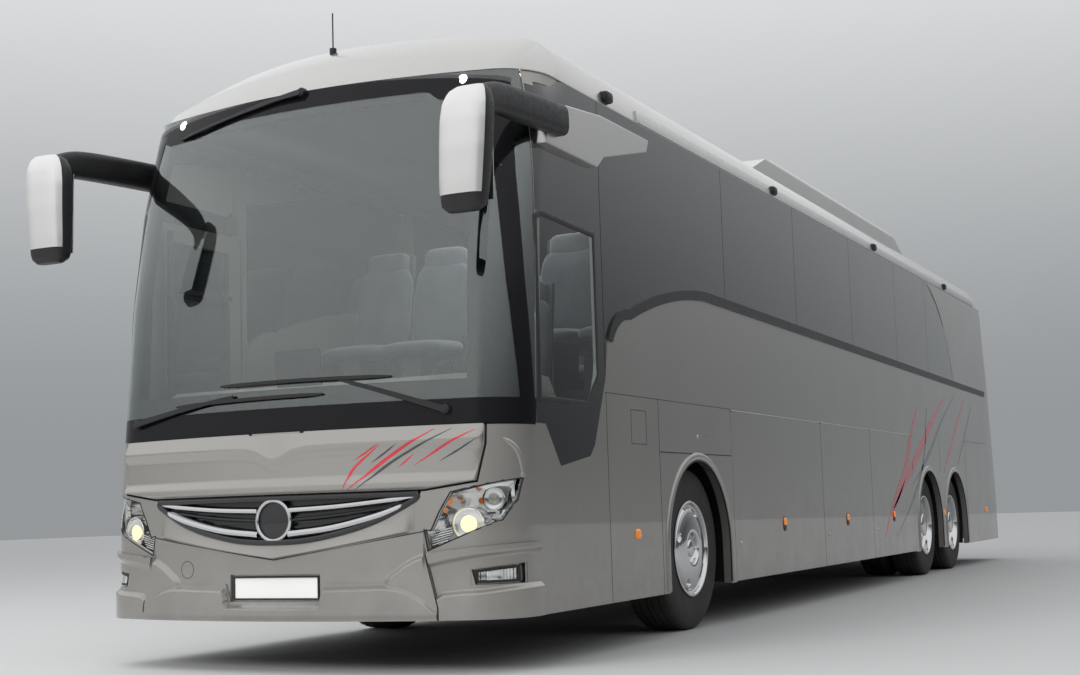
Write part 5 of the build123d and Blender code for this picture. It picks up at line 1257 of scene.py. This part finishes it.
def mirror_arm():
    """A squared-off ellipse carried along a path in the side view, upright to it."""
    table = through(ARM, 40)
    along = np.gradient(table[:, :2], axis=0)
    along /= np.linalg.norm(along, axis=1)[:, None]
    beside = np.stack([-along[:, 1], along[:, 0]], -1)
    turn = np.linspace(0, 2 * np.pi, 28, endpoint=False)[None, :]
    up = squared(np.sin(turn), HEAD_SQUARE) * table[:, 3:]
    spots = table[:, None, :2] + beside[:, None, :] * up[..., None]
    x = ARM_X + squared(np.cos(turn), HEAD_SQUARE) * table[:, 2:3]
    return skinned(np.stack([x, NOSE + spots[..., 0], spots[..., 1]], -1))


def head_shell(low, high, turn, grow):
    """Squared-off ellipses stacked up the mirror's head, over some angles, grown by a step."""
    z = np.linspace(low, high, 26)[:, None]
    table = np.asarray(HEAD)
    wide, deep, sideways, forwards = (np.interp(z, table[:, 0], column) for column in table.T[1:])
    x = HEAD_MIDDLE[0] + sideways + (wide + grow) * squared(np.cos(turn), HEAD_SQUARE)
    d = HEAD_MIDDLE[1] - forwards + (deep + grow) * squared(np.sin(turn), HEAD_SQUARE)
    return np.stack([x, NOSE + d, z + 0 * turn], -1)


all_round = np.linspace(0, 2 * np.pi, 32, endpoint=False)[None, :]
cap_round = np.radians(np.linspace(*CAP_TURN, 33))[None, :]
cap_faces = (head_shell(CAP_LOW, CAP_HIGH, cap_round, CAP_LIFT - wall) for wall in (0, CAP_THICK))
black_parts = [mirror_arm(), skinned(head_shell(HEAD[0][0], HEAD[-1][0], all_round, 0.0))]
mirror_silver = metallic_paint("mirror silver", (0.80, 0.795, 0.78), (0.70, 0.695, 0.68), 0.0)
mirror_black = piece("mirror_arms", both_sides(black_parts), black_plastic, "black_plastic")
piece("mirror_caps", both_sides([walled(*cap_faces)]), mirror_silver, "roof_paint")
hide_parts("mirrors")

outline = np.asarray(FAIRING)
fairing_out = HALF + 0.001 + FAIRING_OUT * np.clip((FAIRING_END - outline[:, 0]) / FAIRING_LONG, 0.04, 1)
fairing = skinned(np.stack([
    np.stack([x, NOSE + outline[:, 0], outline[:, 1]], -1)
    for x in (np.full(len(FAIRING), HALF - FAIRING_BACK), fairing_out)
]))
fairings = piece("mirror_fairings", both_sides([fairing]), roof_paint, "roof_paint")
rounded = fairings.modifiers.new("rounded", "BEVEL")
rounded.width, rounded.segments = 0.014, 3

glass_y = NOSE + HEAD_MIDDLE[1] + GLASS_BEHIND
mirror_face = np.array([(HEAD_MIDDLE[0] + x, glass_y, z) for x, z in GLASS_OUTLINE])
mirror_glass = skinned(np.stack([mirror_face, mirror_face + (0, 0.006, 0)]))
silvered = material("silvered glass", (0.85, 0.87, 0.88), 0.02, 1.0)
piece("mirror_glasses", both_sides([mirror_glass]), silvered, "clear_glass")

# Tail lamps: red plastic lenses with an amber field above and a clear one below, faceted inside and
# clipped into the rear corners as upright clusters.
LENS_RED, LENS_AMBER, LENS_CLEAR = (0.38, 0.008, 0.01), (0.75, 0.2, 0.01), (0.7, 0.7, 0.7)
# Heights where the amber field starts and the clear field ends
AMBER_OVER, CLEAR_UNDER = 1.16, 0.84
red_lamp = material("red lamp", LENS_RED, 0.08, Coat_Weight=1.0)
tree, shader = opened(red_lamp)
height = node(tree, "ShaderNodeSeparateXYZ", {0: own_coordinates(tree)}).outputs["Z"]
tone = mixed(tree, reckon(tree, "GREATER_THAN", height, AMBER_OVER), LENS_RED, LENS_AMBER)
tone = mixed(tree, reckon(tree, "LESS_THAN", height, CLEAR_UNDER), tone, LENS_CLEAR)
tree.links.new(tone, shader.inputs["Base Color"])
facets = node(tree, "ShaderNodeTexVoronoi", {"Vector": own_coordinates(tree), "Scale": 60})
bumped(tree, shader, facets.outputs["Distance"], 0.3, 0.002)
dress(["tail_lamps"], red_lamp)

# Wheels: ribbed radial tyres on steel rims, pressed on and bolted to the hubs. The front covers are domed
# chrome with four holes and a cupped centre, the rear ones deep with ten. The inner twins have none.
TYRE_MIDDLE, TWIN_STEP = 1.0605, 0.335
TYRE_STEPS = 180
# Columns: radius, distance from the tyre's middle, outwards
SIDEWALL = [(0.290, 0.120), (0.300, 0.136), (0.330, 0.1415), (0.40, 0.1465)]
SIDEWALL += [(0.45, 0.1435), (0.480, 0.138), (0.497, 0.131), (0.505, 0.1225)]
TREAD = [(0.5105, 0.112), (0.512, 0.095), (0.512, 0.073), (0.501, 0.070), (0.501, 0.062), (0.512, 0.059)]
TREAD += [(0.512, 0.026), (0.501, 0.023), (0.501, 0.015), (0.512, 0.012), (0.512, 0.0)]
BEADS = [(0.286, -0.118), (0.286, 0.118)]
# The notches at the shoulder: one in this many steps, this deep, within this part of the section
NOTCH_EVERY, NOTCH_DEEP, NOTCH_PAST, NOTCH_OVER = 3, 0.007, 0.09, 0.49


def tyre(middle, distance, side):
    """The tyre's section turned round its axle. Every few degrees the shoulder is notched."""
    half = np.asarray(SIDEWALL + TREAD)
    section = np.concatenate([half, half[-2::-1] * (1, -1), BEADS])
    turn = np.linspace(0, 2 * np.pi, TYRE_STEPS, endpoint=False)[:, None]
    shoulder = (np.abs(section[:, 1]) > NOTCH_PAST) & (section[:, 0] > NOTCH_OVER)
    notch = (np.arange(TYRE_STEPS) % NOTCH_EVERY == 0)[:, None] & shoulder
    radius = section[:, 0] - NOTCH_DEEP * notch
    x = middle + side * section[:, 1] + 0 * turn
    points = np.stack([x, NOSE + distance + radius * np.cos(turn), HUB + radius * np.sin(turn)], -1)
    return skinned(points, rows_closed=True)


tyre_rubber = material("tyre rubber", (0.02, 0.02, 0.02), 0.75, grain=(700, 3.0, 0.15, 0.0006))
tree, shader = opened(tyre_rubber)
worn = mixed(tree, spread(tree, noise(tree, 9, 5.0), 0, 1), (0.011, 0.011, 0.011), (0.022, 0.022, 0.021))
dusted(tree, shader, worn, 0.7, 0.12)

# Columns: radius, distance outwards from the tyre's middle
COVER = [
    (0.284, 0.10), (0.3035, 0.1405), (0.3035, 0.1465), (0.298, 0.149),
    (0.290, 0.1485), (0.283, 0.142), (0.277, 0.128),
    (0.268, 0.124), (0.262, 0.130), (0.255, 0.139), (0.235, 0.146),
    (0.20, 0.152), (0.16, 0.156), (0.12, 0.158),
    (0.104, 0.157), (0.097, 0.150), (0.090, 0.128), (0.084, 0.122),
    (0.070, 0.121), (0.064, 0.126), (0.058, 0.140),
    (0.050, 0.146), (0.030, 0.149), (0.0005, 0.150), (0.0005, 0.09),
]
# Columns: radius, distance outwards, for the deep outer rims of the rear axles
DEEP_COVER = [
    (0.284, 0.06), (0.3035, 0.1405), (0.3035, 0.1465), (0.298, 0.149),
    (0.290, 0.1485), (0.283, 0.142), (0.275, 0.12),
    (0.267, 0.085), (0.258, 0.071), (0.245, 0.068), (0.225, 0.075),
    (0.195, 0.092), (0.16, 0.101), (0.128, 0.103),
    (0.122, 0.108), (0.118, 0.128), (0.110, 0.137), (0.09, 0.142),
    (0.05, 0.145), (0.0005, 0.146), (0.0005, 0.05),
]
COVER_STEPS = 128
# For each axle: the cover's table, how many holes it has, and how far they are from the axle
COVERS = {"front": (COVER, 4, 0.228), "drive": (DEEP_COVER, 10, 0.212), "tag": (DEEP_COVER, 10, 0.212)}
# A hole's half length, half width and depth, and the turn of the first one. The share of its size where its
# edge ends, the length of that edge's slope, and how far outwards the cover's front starts
HOLE, HOLE_TURN = (0.026, 0.018, 0.03), 0.35
HOLE_END, HOLE_SLOPE, COVER_FRONT = 1.15, 0.3, 0.06
# Columns: radius, distance outwards, of the painted barrel inside the tyre
BARREL = [(0.0505, -0.135), (0.10, -0.13), (0.284, -0.12), (0.2845, 0.118), (0.278, 0.118), (0.27, -0.02)]
BARREL += [(0.0505, -0.03)]


def wheel_cover(table, holes, hole_radius, middle, distance, side):
    """A cover turned round the axle. Holes are deep oval dents at even angles."""
    section = np.asarray(table)
    runs = [np.linspace(a, b, 5)[:-1] for a, b in zip(section, section[1:])]
    fine = np.concatenate([*runs, section[-1:]])
    turn = np.linspace(0, 2 * np.pi, COVER_STEPS, endpoint=False)[:, None]
    radius, out = fine[:, 0] + 0 * turn, fine[:, 1] + 0 * turn
    spacing = 2 * np.pi / holes
    off = (turn + spacing / 2 + HOLE_TURN) % spacing - spacing / 2
    reach = np.hypot(off * hole_radius / HOLE[0], (radius - hole_radius) / HOLE[1])
    out = out - HOLE[2] * np.clip((HOLE_END - reach) / HOLE_SLOPE, 0, 1) * (fine[:, 1] > COVER_FRONT)
    y, z = NOSE + distance + radius * np.cos(turn), HUB + radius * np.sin(turn)
    return skinned(np.stack([middle + side * out, y, z], -1), rows_closed=True)


COATING = (0.03, 0.03, 0.032)
rim_black = material("rim coating", COATING, 0.45)
dusted(*opened(rim_black), COATING, 0.45, 0.8)
for axle, distance in AXLES.items():
    for side, side_name in ((1, "left"), (-1, "right")):
        corner, body = f"{axle}_{side_name}", f"wheel_{axle}_{side_name}"
        steps = (0, TWIN_STEP) if axle == "drive" else (0,)
        middles = [side * (TYRE_MIDDLE - step) for step in steps]
        rubber = [tyre(middle, distance, side) for middle in middles]
        tyres = piece(f"tyre_set_{corner}", rubber, tyre_rubber, "tyre_rubber", body)
        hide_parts(f"tyre_{corner}")
        cover = wheel_cover(*COVERS[axle], middles[0], distance, side)
        piece(f"wheel_cover_{corner}", [cover], chrome, "rim_chrome", body)
        hubs = [(middle, NOSE + distance, HUB) for middle in middles]
        barrels = [turned(BARREL, hub, (side, 0, 0), 64, closed=True) for hub in hubs]
        barrel = piece(f"wheel_barrel_{corner}", barrels, rim_black, "rim_chrome", body)
        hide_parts(f"rim_{corner}")

# Stripes: thin tapered strokes of glued red and dark film, fanned over the front flap's left and over both
# sides near the tail. They are cut at the joint of a luggage flap and ride on it.
FILM_LOOK = {"rough": (30, 3.0, 0.2, 0.32), "Coat_Weight": 1.0}
film_red = material("red film", (0.50, 0.012, 0.03), 0.25, **FILM_LOOK)
film_dark = material("dark film", (0.03, 0.032, 0.036), 0.25, **FILM_LOOK)
# The film is cut where the last luggage flap ends, and on the right it starts behind the middle door
FLAP_CUT, SIDE_START, RIGHT_START, SIDE_END = 8.981, 8.994, 8.32, 20
FILM_OUT, FILM_IN = 0.0016, 0.0004
# A stroke's width along its length: places and shares
STROKE_TAPER = ((0, 0.35, 0.7, 1), (0.15, 1, 0.8, 0.1))
# Columns: lower end, bend, upper end, width, all in front view
RED_STROKES = [
    ((0.415, 0.915), (0.471, 1.023), (0.614, 1.140), 0.014),
    ((0.442, 0.914), (0.672, 1.081), (0.888, 1.205), 0.018),
    ((0.47, 1.063), (0.535, 1.10), (0.603, 1.141), 0.010),
    ((0.708, 1.019), (0.75, 1.052), (0.789, 1.086), 0.009),
    ((0.791, 1.026), (0.95, 1.124), (1.09, 1.195), 0.013),
]
DARK_STROKES = [
    ((0.486, 0.913), (0.696, 1.06), (0.974, 1.203), 0.014),
    ((0.563, 1.045), (0.63, 1.09), (0.699, 1.137), 0.010),
    ((0.917, 1.041), (1.02, 1.10), (1.10, 1.15), 0.010),
]
# Columns: points from the lower to the upper end, width, all in side view
SIDE_RED = [
    ((7.72, 0.44), (8.1, 0.71), (8.72, 1.10), (8.97, 1.40), (9.38, 1.73), 0.12),
    ((8.1, 0.70), (8.88, 1.05), (9.53, 1.35), (10.05, 1.60), (10.79, 1.91), 0.12),
    ((10.5, 1.05), (11.2, 1.50), (11.9, 1.93), 0.06),
]
SIDE_DARK = [
    ((8.2, 0.43), (8.97, 0.79), (9.53, 1.18), (9.8, 1.73), 0.045),
    ((8.97, 0.92), (9.72, 1.21), (10.5, 1.60), (11.35, 1.96), 0.05),
    ((11.3, 1.15), (11.8, 1.50), (12.3, 1.86), 0.03),
]


def half_widths(path, width):
    """For each point of a path, half the tapered stroke's width as a step square to the path."""
    step = np.gradient(path, axis=0)
    beside = np.stack([-step[:, 1], step[:, 0]], -1) / np.linalg.norm(step, axis=1)[:, None]
    return beside * (width / 2 * np.interp(np.linspace(0, 1, len(path)), *STROKE_TAPER))[:, None]


def flap_film(points, width):
    """A thin tapered film that follows the front flap's relief, a millimetre above it."""
    path = facing(through(points, 60))
    spots = path + np.linspace(-1, 1, 5)[:, None, None] * half_widths(path, width)
    u, z = spots[..., 0], spots[..., 1]
    lift = flap_lift(u, z)
    return layer(u, z, lift + 0.0012, lift + 0.0002)


def side_films(table, side, start, stop):
    """Tapered films along bent paths on one side: the part of each between two distances."""
    films = []
    for *points, width in table:
        path = through(points, 200)
        reach = half_widths(path, width)
        kept = (path[:, 0] > start) & (path[:, 0] < stop)
        if kept.sum() > 2:
            d, z = np.moveaxis(np.stack([path - reach, path + reach])[:, kept], -1, 0)
            places = (side * (HALF + lift) + 0 * d for lift in (FILM_OUT, FILM_IN))
            films.append(walled(*(np.stack([x, NOSE + d, z], -1) for x in places)))
    return films


# Columns: name, strokes on the flap, strokes on the side, film, slot
FILMS = [
    ("red", RED_STROKES, SIDE_RED, film_red, "lamp_red"),
    ("dark", DARK_STROKES, SIDE_DARK, film_dark, "black_plastic"),
]
for name, on_flap, _, film, slot in FILMS:
    strokes = [flap_film(points, width) for *points, width in on_flap]
    piece(f"flap_strokes_{name}", strokes, film, slot, body="front_flap")
for name, _, on_side, film, slot in FILMS:
    fixed = side_films(on_side, 1, SIDE_START, SIDE_END) + side_films(on_side, -1, RIGHT_START, SIDE_END)
    piece(f"side_strokes_{name}", fixed, film, slot)
    hung = side_films(on_side, 1, 0, FLAP_CUT)
    piece(f"flap_films_{name}", hung, film, slot, body="luggage_left_3")

# Roof-edge lamps: small black plastic housings with squared-off ends, screwed to the gutter rail along
# each edge of the roof.
EDGE_LAMPS = [1.561, 4.749, 7.872, 11.112]
# Middle of a lamp from the coach's middle and over the road, its half width and half length, its squareness
EDGE_X, EDGE_HEIGHT, EDGE_WIDE, EDGE_LONG, EDGE_SQUARE = 1.262, 3.165, 0.034, 0.055, 0.5
up = np.linspace(-np.pi / 2, np.pi / 2, 12)[:, None]
around = np.linspace(0, 2 * np.pi, 24, endpoint=False)[None, :]
edge_lamps = []
for distance in EDGE_LAMPS:
    x = EDGE_X + EDGE_WIDE * squared(np.cos(up) * np.cos(around), EDGE_SQUARE)
    y = NOSE + distance + EDGE_LONG * squared(np.sin(up), EDGE_SQUARE) + 0 * around
    z = EDGE_HEIGHT + EDGE_WIDE * squared(np.cos(up) * np.sin(around), EDGE_SQUARE)
    edge_lamps.append(skinned(np.stack([x, y, z], -1)))
piece("roof_edge_lamps", both_sides(edge_lamps), black_plastic, "black_plastic")

# Marker lights: two small white lenses pressed into the windscreen's top band.
# Under the coach lies the floor of the studio.
MARKER_LIGHT, LIGHT_PROFILE = (0.921, 3.06), [(0.0, 0.004), (0.022, 0.003), (0.028, -0.001), (0.0, -0.001)]
light_run, light_height = facing([MARKER_LIGHT])[0]
marker_light = turned(LIGHT_PROFILE, skin(light_run, light_height, 0.001), (0, -1, 0.3), 24)
piece("marker_lights", both_sides([marker_light]), bulb_white, "clear_glass")

FLOOR_HALF, FLOOR_GREY = 60, (0.44, 0.44, 0.44)
floor_corners = [(x * FLOOR_HALF, y * FLOOR_HALF, 0) for x, y in ((-1, -1), (1, -1), (1, 1), (-1, 1))]
floor = bpy.data.objects.new("studio_floor", bpy.data.meshes.new("studio_floor"))
floor.data.from_pydata(floor_corners, [], [(0, 1, 2, 3)])
floor.data.materials.append(material("studio floor", FLOOR_GREY, 0.75))
bpy.context.collection.objects.link(floor)
